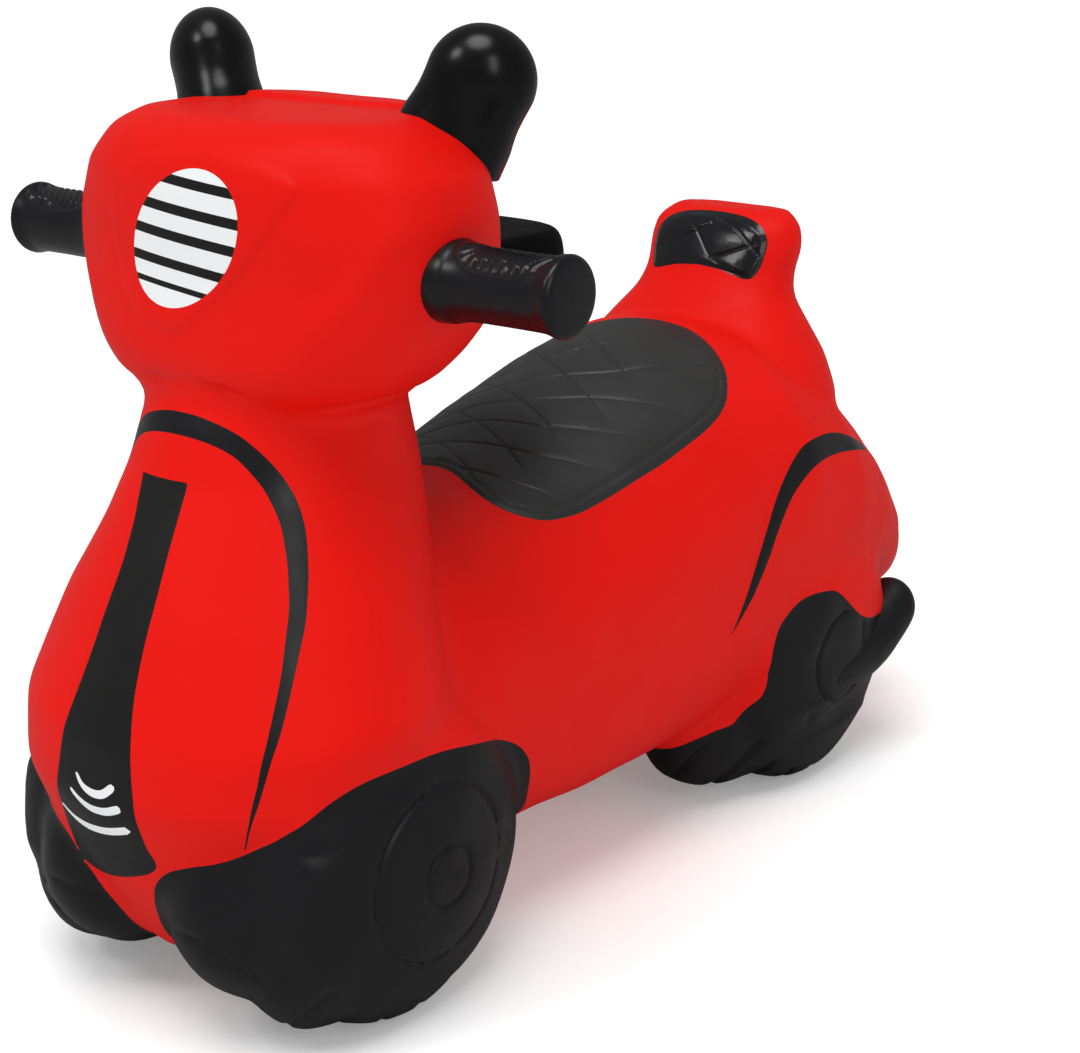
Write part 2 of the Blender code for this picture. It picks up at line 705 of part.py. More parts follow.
def tread_tool(side, y, radius):
    """Slots across a tread, with a lug between two of them at the bottom."""
    axle = Vector((side * stretched(SLOT_X, 0, 0).x, *wheel_centre(y, radius)))
    places = []
    for step in range(SLOT_COUNT):
        turn = Matrix.Rotation((step - (SLOT_COUNT - 1) / 2) * SLOT_PITCH, 4, "X")
        places.append(Matrix.Translation(axle) @ turn @ Matrix.Translation((0, 0, -radius)))
    return slots(places, (SLOT_LENGTH, SLOT_WIDTH, radius / 2), side * SLOT_SLANT)


def engrave(piece, form, tool, depth):
    """Cuts a tool into a piece to an even depth below the skin's surface."""
    combine(tool, offset_copy(form, -depth, "depth"), "DIFFERENCE")
    combine(piece, tool, "DIFFERENCE")
    return piece


def centre_on_origin(things):
    """Moves the toy so that its origin is on the floor, under the middle of its box."""
    points = [vertex.co for thing in things for vertex in thing.data.vertices]
    low = Vector(min(point[i] for point in points) for i in range(3))
    high = Vector(max(point[i] for point in points) for i in range(3))
    shift = Matrix.Translation((0, -(low.y + high.y) / 2, -low.z))
    for thing in things:
        thing.data.transform(shift)


def main():
    for thing in list(bpy.data.objects):
        bpy.data.objects.remove(thing)
    form = blended_form()
    shell = duplicate(form, "shell")
    wall = shell.modifiers.new("wall", "SOLIDIFY")
    wall.thickness = WALL
    wall.offset = -1
    settle(shell)
    skin = duplicate(shell, "body_skin")
    things = [skin]

    def zone(name, make_tool, look):
        things.append(take_zone(name, skin, shell, make_tool(0), make_tool(SEAM), look))
        return things[-1]

    for side, word in ((1, "left"), (-1, "right")):
        for end, make_tool, y, radius in (
            ("front", front_zone_tool, FRONT_AXLE_Y, FRONT_RADIUS),
            ("rear", rear_zone_tool, REAR_AXLE_Y, REAR_RADIUS),
        ):
            wheel = zone(end + "_" + word + "_wheel", lambda grow: make_tool(side, grow), BLACK)
            engrave(wheel, form, ring_tool(side, y, radius, radius * DISC_SHARE, 16), GROOVE)
            engrave(wheel, form, ring_tool(side, y, radius, HUB_RADIUS, 12), GROOVE)
            engrave(wheel, form, tread_tool(side, y, radius), SLOT_DEPTH)
        stripe = side_outline(smooth_line(REAR_STRIPE_UPPER) + smooth_line(REAR_STRIPE_LOWER))
        zone("rear_" + word + "_stripe",
             lambda grow: prism("stripe", grown(stripe, grow), "x", side * WALL, side * PAST), BLACK)
        things.append(grip(side, word, form, skin))
        things.append(mirror(side, word, form, skin))
    zone("seat_pad", seat_tool, BLACK)
    rest = [(0.0, REST_PAD_FOOT)] + smooth_line(REST_PAD_HALF) + [(0.0, REST_PAD_TOP)]
    rest = face_outline(mirrored_outline(rest))
    rest_y = [stretched(0, y, 0).y for y in (REST_PAD_FRONT_Y, REST_PAD_REAR_Y)]
    zone("backrest_pad", lambda grow: prism("rest", grown(rest, grow), "y", rest_y[0], rest_y[1] + grow), BLACK)
    light = circle(0, stretched(0, 0, LIGHT_HEIGHT).z, LIGHT_RADIUS, 32)
    zone("headlight_lens", lambda grow: prism("light", grown(light, grow), "y", -PAST, 0.0), WHITE)
    arch = face_outline(stripe_outline(ARCH_OUTER, ARCH_INNER))
    zone("apron_arch_stripe", lambda grow: prism("arch", grown(arch, grow), "y", -PAST, 0.0), BLACK)
    centre = face_outline(mirrored_outline(CENTRE_STRIPE))
    zone("apron_centre_stripe", lambda grow: prism("centre", grown(centre, grow), "y", -PAST, 0.0), BLACK)
    things.append(dash_boss(form, skin))
    things.append(exhaust(form))
    things.extend(valve(form, skin))
    finish(skin, RED)
    discard(form)
    discard(shell)
    centre_on_origin(things)


main()
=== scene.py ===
import math
import bmesh
import bpy
import numpy as np
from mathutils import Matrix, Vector
from mathutils.bvhtree import BVHTree


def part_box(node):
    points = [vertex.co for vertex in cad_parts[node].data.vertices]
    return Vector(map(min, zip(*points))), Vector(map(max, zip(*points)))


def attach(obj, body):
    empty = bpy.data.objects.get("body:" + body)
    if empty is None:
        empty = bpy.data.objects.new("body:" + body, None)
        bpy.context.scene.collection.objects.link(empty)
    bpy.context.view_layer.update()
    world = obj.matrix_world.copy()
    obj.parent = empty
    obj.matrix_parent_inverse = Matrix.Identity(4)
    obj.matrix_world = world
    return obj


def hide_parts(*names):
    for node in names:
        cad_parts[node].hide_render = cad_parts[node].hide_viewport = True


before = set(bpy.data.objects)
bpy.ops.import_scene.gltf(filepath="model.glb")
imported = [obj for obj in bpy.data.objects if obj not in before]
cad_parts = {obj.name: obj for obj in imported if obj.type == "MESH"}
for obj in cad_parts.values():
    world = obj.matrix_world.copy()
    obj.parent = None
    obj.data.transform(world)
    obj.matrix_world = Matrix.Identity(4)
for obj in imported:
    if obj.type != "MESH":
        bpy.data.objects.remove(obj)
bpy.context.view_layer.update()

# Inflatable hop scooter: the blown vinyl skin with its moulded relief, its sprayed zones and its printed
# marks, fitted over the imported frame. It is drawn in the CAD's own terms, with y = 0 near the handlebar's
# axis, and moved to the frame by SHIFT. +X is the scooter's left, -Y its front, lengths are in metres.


def metres(rows):
    """A table in tenths of a millimetre, as metres."""
    return tuple(metres(row) if isinstance(row, tuple) else row / 10000 for row in rows)


# Handlebar axis of the drawn form
GRIP_Y = 0.002
GRIP_HEIGHT = 0.322
low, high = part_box("left_grip")
SHIFT = Vector((0, (low.y + high.y) / 2 - GRIP_Y, 0))

# Form rows. Column, head and backrest: height, front, back, half width, squareness
COLUMN = (
    (0.03, -0.078, 0.02, 0.028, 2.1), (0.045, -0.089, 0.04, 0.05, 2.1), (0.076, -0.105, 0.05, 0.08, 2.1),
    (0.113, -0.117, 0.055, 0.096, 2.1), (0.139, -0.114, 0.055, 0.097, 2.1), (0.185, -0.094, 0.055, 0.08, 2.1),
    (0.215, -0.078, 0.06, 0.066, 2.1), (0.238, -0.066, 0.06, 0.058, 2.1), (0.26, -0.058, 0.056, 0.054, 2.1),
    (0.276, -0.049, 0.05, 0.052, 2.1),
)
HEAD = (
    (0.264, -0.046, 0.043, 0.056, 2.4), (0.275, -0.054, 0.055, 0.073, 2.5), (0.286, -0.0555, 0.061, 0.084, 2.5),
    (0.3, -0.0535, 0.066, 0.094, 2.5), (0.32, -0.051, 0.068, 0.1005, 2.4), (0.342, -0.051, 0.068, 0.1015, 2.35),
    (0.36, -0.05, 0.067, 0.096, 2.3), (0.374, -0.045, 0.066, 0.083, 2.3), (0.382, -0.032, 0.056, 0.067, 2.3),
)
BACKREST = (
    (0.15, 0.258, 0.376, 0.064, 2.2), (0.18, 0.26, 0.384, 0.074, 2.2), (0.205, 0.265, 0.385, 0.078, 2.2),
    (0.226, 0.277, 0.379, 0.069, 2.2), (0.243, 0.294, 0.373, 0.056, 2.2), (0.256, 0.309, 0.368, 0.046, 2.2),
    (0.268, 0.32, 0.368, 0.044, 2.3), (0.28, 0.325, 0.371, 0.046, 2.4), (0.292, 0.331, 0.369, 0.0445, 2.4),
    (0.3, 0.342, 0.368, 0.035, 2.4),
)
# Body: distance back, underside, top, half width, squareness of the top and of the underside
BODY = (
    (0.000, 0.04, 0.208, 0.08, 2.3, 2.6), (0.045, 0.04, 0.204, 0.088, 2.3, 2.8),
    (0.09, 0.04, 0.2035, 0.09, 2.2, 3.0), (0.13, 0.038, 0.2125, 0.092, 2.1, 3.1),
    (0.17, 0.037, 0.226, 0.094, 2.1, 3.1), (0.23, 0.037, 0.2425, 0.097, 2.1, 3.0),
    (0.29, 0.042, 0.248, 0.101, 2.35, 2.6), (0.34, 0.05, 0.236, 0.099, 2.0, 2.3),
    (0.38, 0.055, 0.202, 0.091, 2.0, 2.1), (0.415, 0.056, 0.166, 0.079, 2.0, 2.3),
    (0.438, 0.058, 0.138, 0.069, 2.1, 2.4), (0.45, 0.07, 0.114, 0.054, 2.1, 2.2),
)
# Wheels: distance out and share of the radius; then each pair's radius and axle, how far the treads are
# flattened, and the radii of the rings on their faces
INNER_WHEEL = ((0.028, 0.60), (0.042, 0.85), (0.056, 0.967), (0.072, 1.0))
FRONT_WHEEL = INNER_WHEEL + ((0.086, 0.94), (0.095, 0.77), (0.100, 0.56), (0.104, 0.36), (0.106, 0.16))
REAR_WHEEL = INNER_WHEEL + ((0.086, 0.96), (0.095, 0.84), (0.100, 0.68), (0.104, 0.46), (0.106, 0.20))
FRONT_RADIUS, FRONT_AXLE_Y = 0.075, -0.0155
REAR_RADIUS, REAR_AXLE_Y = 0.0745, 0.311
TREAD_SINK = 0.003
FRONT_RINGS, REAR_RINGS = (0.0398, 0.0138), (0.0250,)
# Bulges between wheels and body: centre, half sizes
NOSE = ((0.040, -0.058, 0.064), (0.038, 0.047, 0.048))
SHOULDER = ((0.064, -0.050, 0.048), (0.028, 0.042, 0.043))
KEEL = ((0.056, 0.268, 0.047), (0.034, 0.060, 0.044))

# Skin: mesh size, smoothing that blends the forms, wall, and how near the middle its two halves are joined
MESH_STEP = 0.0030
BLEND_PASSES = 17
WALL = 0.003
MIDDLE_MERGE, POINT_MERGE = 0.0008, 0.0003

# How far outside an outline its depth is still measured
OUTLINE_MARGIN = 0.012

# Zone edges from the side (distance back, height) or from the front (distance out, height). A zone's corners
# lie beyond the skin and only close its outline.
FRONT_ZONE_SIDE = metres((
    (-1009, 905), (-929, 958), (-861, 1035), (-785, 1112), (-673, 1196), (-528, 1249), (-310, 1257), (-45, 1233),
    (277, 1155), (499, 1057), (605, 960), (652, 855), (680, 737), (750, 560), (800, 200),
))
FRONT_ZONE_SIDE_CORNERS = ((0.082, -0.020), (-0.140, -0.020), (-0.140, 0.087))
FRONT_ZONE_FACE = metres((
    (65, 200), (80, 437), (120, 580), (175, 708), (240, 800), (321, 862), (452, 914), (583, 958),
))
FRONT_ZONE_FACE_CORNERS = ((0.060, 0.150), (0.200, 0.150), (0.200, -0.020), (0.0065, -0.020))
REAR_ZONE_SIDE = metres((
    (1500, 160), (1750, 260), (1950, 335), (2086, 405), (2162, 460), (2266, 500), (2363, 515), (2400, 550),
    (2434, 597), (2482, 655), (2504, 723), (2512, 808), (2523, 881), (2543, 949), (2574, 1026), (2625, 1070),
    (2695, 1110), (2773, 1132), (2881, 1136), (3013, 1116), (3081, 1079), (3144, 1024), (3211, 962), (3277, 910),
    (3362, 870), (3450, 845), (3600, 815), (3740, 740), (3840, 640), (3900, 500), (3920, 300), (3900, 50),
))
REAR_ZONE_CORNERS = ((0.375, -0.020), (0.150, -0.020))
# The right front zone is set out by the skew, as the photograph shows. The rear zones keep off the middle.
FRONT_ZONE_SKEW, REAR_ZONE_INNER_X = 0.006, 0.030
REAR_STRIPE_UPPER = metres((
    (2135, 1085), (2234, 1240), (2300, 1360), (2350, 1450), (2420, 1561), (2516, 1697), (2620, 1799), (2760, 1895),
    (2885, 1940), (3069, 1939), (3230, 1911), (3373, 1863), (3619, 1758), (3640, 1735),
))
REAR_STRIPE_LOWER = metres((
    (3626, 1710), (3475, 1767), (3289, 1805), (3093, 1830), (2904, 1825), (2751, 1767), (2632, 1689), (2513, 1557),
    (2430, 1432), (2300, 1262),
))
# Backrest pad from the front, and the distances back between which it lies
REST_PAD_HALF = metres((
    (0, 2712), (130, 2700), (215, 2680), (280, 2662), (320, 2668), (345, 2720), (356, 2800), (350, 2865), (300, 2925),
    (215, 2960), (100, 2976), (0, 2979),
))
REST_FRONT_Y, REST_REAR_Y = 0.280, 0.352
# Apron stripes from the front
ARCH_OUTER = metres((
    (0, 2646), (78, 2643), (181, 2622), (272, 2587), (331, 2547), (385, 2496), (431, 2437), (468, 2377), (507, 2309),
    (545, 2231), (585, 2135), (620, 2052), (654, 1960), (683, 1868), (700, 1775), (714, 1683), (727, 1589),
    (737, 1486), (736, 1391), (722, 1296), (699, 1186), (669, 1092), (633, 1005),
))
ARCH_INNER = metres((
    (628, 1005), (671, 1120), (690, 1224), (705, 1322), (710, 1414), (704, 1499), (693, 1593), (678, 1697),
    (659, 1791), (639, 1874), (613, 1956), (588, 2017), (557, 2090), (522, 2164), (487, 2239), (448, 2305),
    (401, 2375), (352, 2434), (292, 2490), (229, 2524), (150, 2547), (70, 2558), (0, 2561),
))
CENTRE_STRIPE = metres((
    (112, 2386), (116, 2279), (125, 2138), (136, 2009), (146, 1880), (152, 1749), (164, 1617), (181, 1520),
    (207, 1413), (223, 1284), (238, 1164), (240, 1053), (240, 960), (255, 881), (215, 830), (127, 785), (-17, 735),
    (-160, 708), (-245, 736), (-285, 800), (-290, 890), (-272, 980), (-250, 1080), (-225, 1180), (-204, 1287),
    (-182, 1436), (-158, 1580), (-134, 1730), (-116, 1880), (-105, 2044), (-112, 2131), (-123, 2217), (-146, 2302),
    (-161, 2372), (-163, 2384),
))
# Seat pad from above (distance out, distance back), and the heights between which it lies
SEAT_HALF = metres((
    (0, 1030), (110, 1012), (215, 972), (344, 938), (446, 948), (532, 998), (600, 1085), (634, 1212), (658, 1370),
    (683, 1553), (701, 1778), (710, 2024), (715, 2254), (693, 2425), (640, 2545), (546, 2650), (372, 2745),
    (187, 2805), (0, 2830),
))
SEAT_LOW, SEAT_HIGH = 0.170, 0.262
# Light from the front: a leaning oval, and the steps of its outline
LIGHT_CENTRE, LIGHT_HALVES, LIGHT_LEAN = (0.0008, 0.3352), (0.0306, 0.0286), 0.30
LIGHT_STEPS = 96

# Printed bars on the light: height over the light's middle, half thickness; and how far they slope
LIGHT_BARS = ((0.0228, 0.0020), (0.0112, 0.0021), (0.0003, 0.0021), (-0.0113, 0.0020), (-0.0205, 0.0012))
BAR_SLOPE = -0.095
# Printed arcs on the centre stripe, from their thin to their thick end: distance out, height; then half
# thickness at the ends and the share of the length over which they swell
STRIPE_ARCS = metres((
    ((-87, 1227), (-51, 1187), (8, 1170), (68, 1179), (119, 1217)),
    ((-130, 1149), (-85, 1118), (-17, 1094), (72, 1101), (150, 1132)),
    ((-245, 1028), (-180, 992), (-80, 978), (47, 995), (172, 1035)),
))
ARC_THIN, ARC_THICK, ARC_SWELL = 0.0009, 0.0018, 0.55

# Moulded relief. The head's lies above and in front of these.
HEAD_LOW, HEAD_REAR = 0.255, 0.11
# Raised panel round the light
PANEL = metres((
    (-480, 3540), (-420, 3610), (-290, 3655), (-126, 3685), (36, 3700), (180, 3700), (357, 3680), (500, 3632),
    (550, 3595), (547, 3551), (503, 3490), (426, 3380), (290, 3228), (123, 3080), (30, 3000), (-60, 2975),
    (-150, 2980), (-270, 3020), (-370, 3130), (-440, 3320), (-480, 3540),
))
# Cheek edge and neck crease on the left side: distance out, distance back, height
CHEEK_EDGE = metres((
    (847, -174, 3594), (895, -203, 3455), (833, -286, 3311), (760, -330, 3172), (675, -369, 3080), (563, -400, 2981),
    (451, -416, 2878), (358, -434, 2809),
))
NECK_CREASE = metres((
    (0, -563, 2765), (99, -558, 2762), (244, -503, 2753), (361, -440, 2748), (468, -369, 2728), (560, -264, 2702),
    (615, -136, 2691), (634, 37, 2687), (600, 300, 2680), (470, 480, 2680), (230, 600, 2690), (0, 640, 2700),
))
# Plate on top of the head
PLATE_FRONT, PLATE_HALF_WIDTH = 0.034, 0.047
# Lower corners that close the fender below the rear stripe, from the side
FENDER_CORNERS = ((0.385, 0.165), (0.425, 0.120), (0.400, 0.080), (0.250, 0.080))
# Quilting of the seat, seen from above, and of the backrest, seen from the front
SEAT_QUILT = metres((
    ((-600, 1820), (-260, 2050), (-145, 2150), (0, 2320), (110, 2510), (210, 2750)),
    ((-660, 1630), (-220, 1820), (-20, 1920), (160, 2050), (280, 2180), (480, 2520), (540, 2660)),
    ((-600, 1420), (-200, 1610), (0, 1680), (170, 1770), (300, 1890), (450, 2020), (600, 2190)),
    ((-620, 1290), (-200, 1430), (-40, 1480), (135, 1520), (260, 1565), (470, 1735), (670, 1970)),
    ((-560, 1130), (-185, 1240), (0, 1280), (170, 1320), (310, 1360), (420, 1420), (610, 1560)),
    ((-350, 980), (10, 1045), (160, 1070), (270, 1100), (370, 1135), (460, 1180), (580, 1250)),
    ((-360, 2570), (20, 2290), (175, 2210), (310, 2140)),
    ((-660, 2440), (-330, 2200), (-210, 2110), (-30, 2010), (105, 1935), (260, 1875), (430, 1800)),
    ((-670, 2070), (-400, 1880), (-160, 1750), (10, 1670), (140, 1615), (260, 1560), (400, 1490)),
    ((-640, 1720), (-250, 1520), (-30, 1420), (180, 1325), (290, 1270), (410, 1210)),
    ((-600, 1450), (-130, 1220), (95, 1105), (230, 1020), (340, 960)),
))
REST_QUILT = metres((
    ((-220, 2965), (-73, 2887), (42, 2772), (104, 2735), (150, 2695)),
    ((-350, 2750), (-195, 2811), (-71, 2879), (71, 2945), (120, 2970)),
    ((-50, 2972), (146, 2923), (282, 2824), (345, 2765)),
    ((50, 2750), (156, 2783), (280, 2832), (350, 2875)),
    ((-350, 2850), (-220, 2955)),
))

# Depths and widths of the relief. Seams: depth, width, puff between them.
PANEL_LIFT, PANEL_EDGE = 0.0011, 0.0016
CHEEK_LIFT, CHEEK_WIDTH = 0.0014, 0.0055
NECK_DEPTH, NECK_WIDTH = 0.0020, 0.0030
PLATE_LIFT, PLATE_EDGE = 0.0020, 0.0008
PAD_LIFT, PAD_EDGE, PUFF_REACH = 0.0008, 0.0035, 0.007
SEAT_SEAM, REST_SEAM = (0.0007, 0.00055, 0.0002), (0.0007, 0.0006, 0.0004)
SEAT_RIM, REST_RIM = 0.003, 0.0015
ROLL_INSET, ROLL_WIDTH, ROLL_DEPTH = 0.0045, 0.0012, 0.0005
FENDER_LIFT = 0.0012
RING_DEPTH, RING_WIDTH, RING_STEP = 0.0011, 0.0010, 0.0005
# Tread slots: how many go round, share of their spacing, slant in radians per metre out from LUG_MIDDLE
LUG_COUNT, LUG_WIDTH, LUG_SLANT, LUG_MIDDLE = 19, 0.10, 9.0, 0.088
FRONT_LUG, REAR_LUG = 0.0010, 0.0024
# Slow waves of the blown skin: waves per metre times tau, height; and their four directions with a start
SKIN_WAVES, TYRE_WAVES = (75, 0.0004), (110, 0.0005)
WAVE_DIRECTIONS = ((1.0, 0.6, 0.3, 0.2), (-0.5, 1.0, 0.7, 1.9), (0.4, -0.8, 1.0, 4.1), (0.9, 0.9, -0.6, 2.7))

# Dents and folds of the black wheels: middle, reach, depth (negative for a swell)
FRONT_DENTS = (
    ((0.086, -0.077, 0.1), (0.012, 0.008, 0.0035), 0.0014),
    ((0.0885, -0.081, 0.0755), (0.01, 0.003, 0.006), 0.0016),
    ((0.081, -0.086, 0.06), (0.004, 0.006, 0.008), -0.001), ((0.07, -0.089, 0.066), (0.0035, 0.01, 0.01), 0.0009),
    ((0.06, -0.098, 0.0725), (0.006, 0.008, 0.003), 0.001),
)
REAR_DENTS = (
    ((0.101, 0.317, 0.0365), (0.012, 0.03, 0.006), 0.003), ((0.1, 0.285, 0.044), (0.01, 0.004, 0.004), 0.0014),
    ((0.102, 0.3, 0.0505), (0.012, 0.05, 0.003), -0.0012), ((0.1, 0.335, 0.029), (0.012, 0.025, 0.002), -0.001),
)
FRONT_FOLD = metres((
    (123, -938, 560), (291, -1006, 590), (482, -1045, 585), (583, -990, 515), (676, -905, 445), (725, -786, 340),
))
FOLD_DEPTH, FOLD_WIDTH = 0.0012, 0.0020

# Grips, mirrors and the boss behind the head. Grip rows: distance out from the skin, or in from the end, and radius
GRIP_RADIUS, GRIP_SPAN = 0.0150, 0.314
GRIP_FOOT = ((-0.012, 0.0177), (0.0, 0.0171), (0.005, 0.0159), (0.012, 0.0151))
GRIP_END = (
    (0.012, 0.015), (0.008, 0.0154), (0.005, 0.0161), (0.0032, 0.0164), (0.0016, 0.0156), (0.0006, 0.0135),
    (0.0002, 0.00675), (0.0, 0.0002),
)
# Ribs in an oval on the grip's top: how far the oval ends from the grip's ends, half its way round, how far
# it is turned forward, squareness, height of its rim, and the spacing, height and sinking of the ribs
OVAL_INSET, OVAL_ROUND, OVAL_TURN, OVAL_POWER, OVAL_RIM = 0.0065, 0.0125, 0.0035, 2.6, 0.0003
RIB_SPACING, RIB_HEIGHT, RIB_SINK, RIB_SLANT, RIB_HOOK = 0.0042, 0.0012, 0.0011, 0.75, 0.0030
GRIP_STEPS, MIRROR_STEPS, DASH_STEPS, EXHAUST_STEPS, VALVE_STEPS = 144, 96, 96, 72, 64
MIRROR_RADIUS, MIRROR_THIN, MIRROR_LENGTH, MIRROR_TURN = 0.0228, 0.0188, 0.0440, math.radians(38)
MIRROR_FOOT = (0.0475, 0.030, 0.3300)
# Mirror stem: distance up from the skin, share of the radius
MIRROR_STEM = ((-0.012, 1.07), (-0.004, 1.055), (0.0, 1.04), (0.004, 1.01), (0.009, 0.985), (0.015, 0.985))
MIRROR_LEAN, MIRROR_SWEEP = math.radians(25), math.radians(11)
DASH_HALF_WIDTH, DASH_ROOT, DASH_REACH, DASH_LOW, DASH_TOP = 0.058, 0.040, 0.145, 0.290, 0.322
DASH_ROWS, DASH_DRAWN_BACK, DASH_DRAWN_IN = 24, 0.016, 0.012
# Exhaust: radius, distance out, how far its front end bends in and over what length; then its rows: distance
# back, height, share of the radius
EXHAUST_RADIUS, EXHAUST_X, EXHAUST_INWARD, EXHAUST_BEND = 0.0130, 0.092, 0.012, 0.045
EXHAUST = (
    (0.262, 0.06, 0.45), (0.266, 0.06, 0.7), (0.271, 0.06, 0.85), (0.29, 0.06, 1.1),
    (0.335, 0.0605, 1.28), (0.358, 0.0645, 1.32), (0.374, 0.0715, 1.3), (0.384, 0.0765, 1.26),
    (0.389, 0.078, 1.14), (0.392, 0.079, 0.95),
)
# Valve: distance back, then profiles of boss and core: height over the belly's skin, radius
VALVE_Y = 0.120
VALVE_BOSS = metres((
    (120, 112), (10, 112), (-6, 106), (-13, 94), (-13, 78), (-6, 71), (10, 69), (10, 48), (120, 48),
))
VALVE_CORE = metres((
    (120, 44), (12, 46), (12, 64), (0, 65), (-7, 58), (-9, 30), (-4, 16), (20, 10), (60, 9),
))

# Camera of the photograph: place in the drawn frame, heading, tilt, lens on a 36 mm sensor
CAMERA_SPOT = (0.62685, -0.62055, 0.47775)
CAMERA_YAW, CAMERA_PITCH = math.radians(38), math.radians(17.5)
CAMERA_LENS = 69.93

# Light of the pale room, and how bright the room looks in a shiny part
ROOM_LIGHT, ROOM_MIRRORED = 0.52, 0.30
# Floor: half its length, its paint as seen and as mirrored in a shiny part, and its glow to the camera
FLOOR_HALF, FLOOR_PAINT, FLOOR_MIRRORED, FLOOR_GLOW = 12.0, 0.90, 0.30, 0.22


# Shader maths

class Value:
    """A node socket that adds Math nodes when it is used in an expression."""

    def __init__(self, tree, socket):
        self.tree, self.socket = tree, socket

    def __add__(self, other):
        return self.tree.maths("ADD", self, other)

    def __sub__(self, other):
        return self.tree.maths("SUBTRACT", self, other)

    def __rsub__(self, other):
        return self.tree.maths("SUBTRACT", other, self)

    def __mul__(self, other):
        return self.tree.maths("MULTIPLY", self, other)

    __radd__ = __add__
    __rmul__ = __mul__


class Tree:
    """A node tree, built node by node."""

    def __init__(self, data):
        data.use_nodes = True
        self.nodes, self.links = data.node_tree.nodes, data.node_tree.links

    def node(self, kind, settings=None, output=0, **sockets):
        """Adds a node of a kind. Its settings come first, then its sockets by name or number."""
        node = self.nodes.new("ShaderNode" + kind)
        for key, setting in (settings or {}).items():
            setattr(node, key, setting)
        for key, term in sockets.items():
            self.put(node, int(key) if key.isdigit() else key.replace("_", " "), term)
        return Value(self, node.outputs[output])

    def put(self, node, key, term):
        """Links a value, or sets a number or colour, on one socket."""
        if isinstance(term, Value):
            self.links.new(term.socket, node.inputs[key])
        else:
            node.inputs[key].default_value = term

    def maths(self, operation, one, other):
        """One operation on two terms, at least one of them a value."""
        return self.node("Math", {"operation": operation}, **{"0": one, "1": other})

    def ray(self, kind):
        """Whether the light ray is of a kind."""
        return self.node("LightPath", output="Is %s Ray" % kind)

    def noise(self, scale, detail):
        """Noise at a scale in waves per metre."""
        place = self.node("TexCoord", output="Object")
        return self.node("TexNoise", Vector=place, Scale=scale, Detail=detail, Roughness=0.5)

    def mix(self, amount, one, other):
        """Mixes two colours."""
        return self.node("Mix", {"data_type": "RGBA"}, 2, **{"0": amount, "6": one, "7": other})

    def mix_shaders(self, amount, one, other):
        """Mixes two shaders."""
        return self.node("MixShader", **{"0": amount, "1": one, "2": other})


class Finish(Tree):
    """A material with a Principled BSDF."""

    def __init__(self, name):
        self.material = bpy.data.materials.new(name)
        super().__init__(self.material)
        self.shader = self.nodes["Principled BSDF"]

    def set(self, **sockets):
        """Sets or links sockets of the Principled BSDF."""
        for key, term in sockets.items():
            self.put(self.shader, key.replace("_", " "), term)


def shade(colour, share):
    """A colour made darker or lighter, as a socket takes it."""
    return tuple(min(channel * share, 1.0) for channel in colour) + (1.0,)


def vinyl(name, colour, roughness, specular=0.3, mottle=0.10, grain=0.00003, waves=0.00035):
    """Soft vinyl: faint clouding of the colour, uneven gloss, a fine skin and slow waves in the surface."""
    finish = Finish(name)
    cloud = finish.noise(22, 3.0)
    finish.set(Base_Color=finish.mix(cloud, shade(colour, 1 - mottle), shade(colour, 1 + mottle)))
    fine = finish.node("Bump", Strength=0.35, Distance=grain, Height=finish.noise(1400, 3.0))
    slow = finish.node("Bump", Strength=0.30, Distance=waves, Height=finish.noise(45, 2.0), Normal=fine)
    finish.set(Roughness=(finish.noise(60, 4.0) - 0.5) * 0.22 + roughness, Normal=slow, Specular_IOR_Level=specular)
    return finish.material


# Colours, then the finish of each piece
RED = (0.72, 0.005, 0.002)
BLACK = (0.0058, 0.0060, 0.0074)
# The seat's colour is the black spray made lighter with painted sheen: the grey the seat shows at grazing angles is
# put into its colour.
SEAT_BLACK_WITH_PAINTED_SHEEN = (0.0160, 0.0166, 0.0158)
WHITE = (0.80, 0.83, 0.83)
PURE_WHITE = (1.0, 1.0, 1.0)

RED_VINYL = vinyl("red_vinyl", RED, 0.50, 0.10, mottle=0.04)
BLACK_SPRAY = vinyl("black_sprayed_vinyl", BLACK, 0.40, 0.30, mottle=0.25, waves=0.0005)
STRIPE_SPRAY = vinyl("black_stripe_spray", BLACK, 0.36, 0.34, mottle=0.20)
# The seat's finish carries that painted sheen in its lighter black.
SEAT_SPRAY_WITH_PAINTED_SHEEN = vinyl("black_seat_spray_with_painted_sheen", SEAT_BLACK_WITH_PAINTED_SHEEN, 0.50, 0.60, mottle=0.20)
REST_SPRAY = vinyl("black_rest_spray", BLACK, 0.22, 0.42, mottle=0.20)
GRIP_SPRAY = vinyl("black_grip_spray", BLACK, 0.28, 0.32, mottle=0.20)
GLOSS_BLACK = vinyl("gloss_black_spray", (0.0018, 0.0018, 0.0022), 0.26, 0.28, mottle=0.15, waves=0.0006)
DASH_SPRAY = vinyl("black_dash_spray", (0.002, 0.002, 0.002), 0.55, 0.06, mottle=0.15)
WHITE_SPRAY = vinyl("white_sprayed_vinyl", WHITE, 0.42, 0.3, mottle=0.03)
BAR_PRINT = vinyl("black_bar_print", (0.0095, 0.0095, 0.0092), 0.40, 0.24, mottle=0.15)
VALVE_RUBBER = vinyl("valve_rubber", (0.05, 0.05, 0.055), 0.60, 0.3, mottle=0.2)


# Forms

def around(count):
    """Angles once round."""
    return [math.tau * step / count for step in range(count)]


def superellipse(half_u, half_v, power, count=64):
    """Points of a closed oval whose squareness is its power."""
    points = []
    for angle in around(count):
        cosine, sine = math.cos(angle), math.sin(angle)
        points.append((half_u * math.copysign(abs(cosine) ** (2 / power), cosine),
                       half_v * math.copysign(abs(sine) ** (2 / power), sine)))
    return points


def add_object(name, data):
    thing = bpy.data.objects.new(name, data)
    bpy.context.collection.objects.link(thing)
    return thing


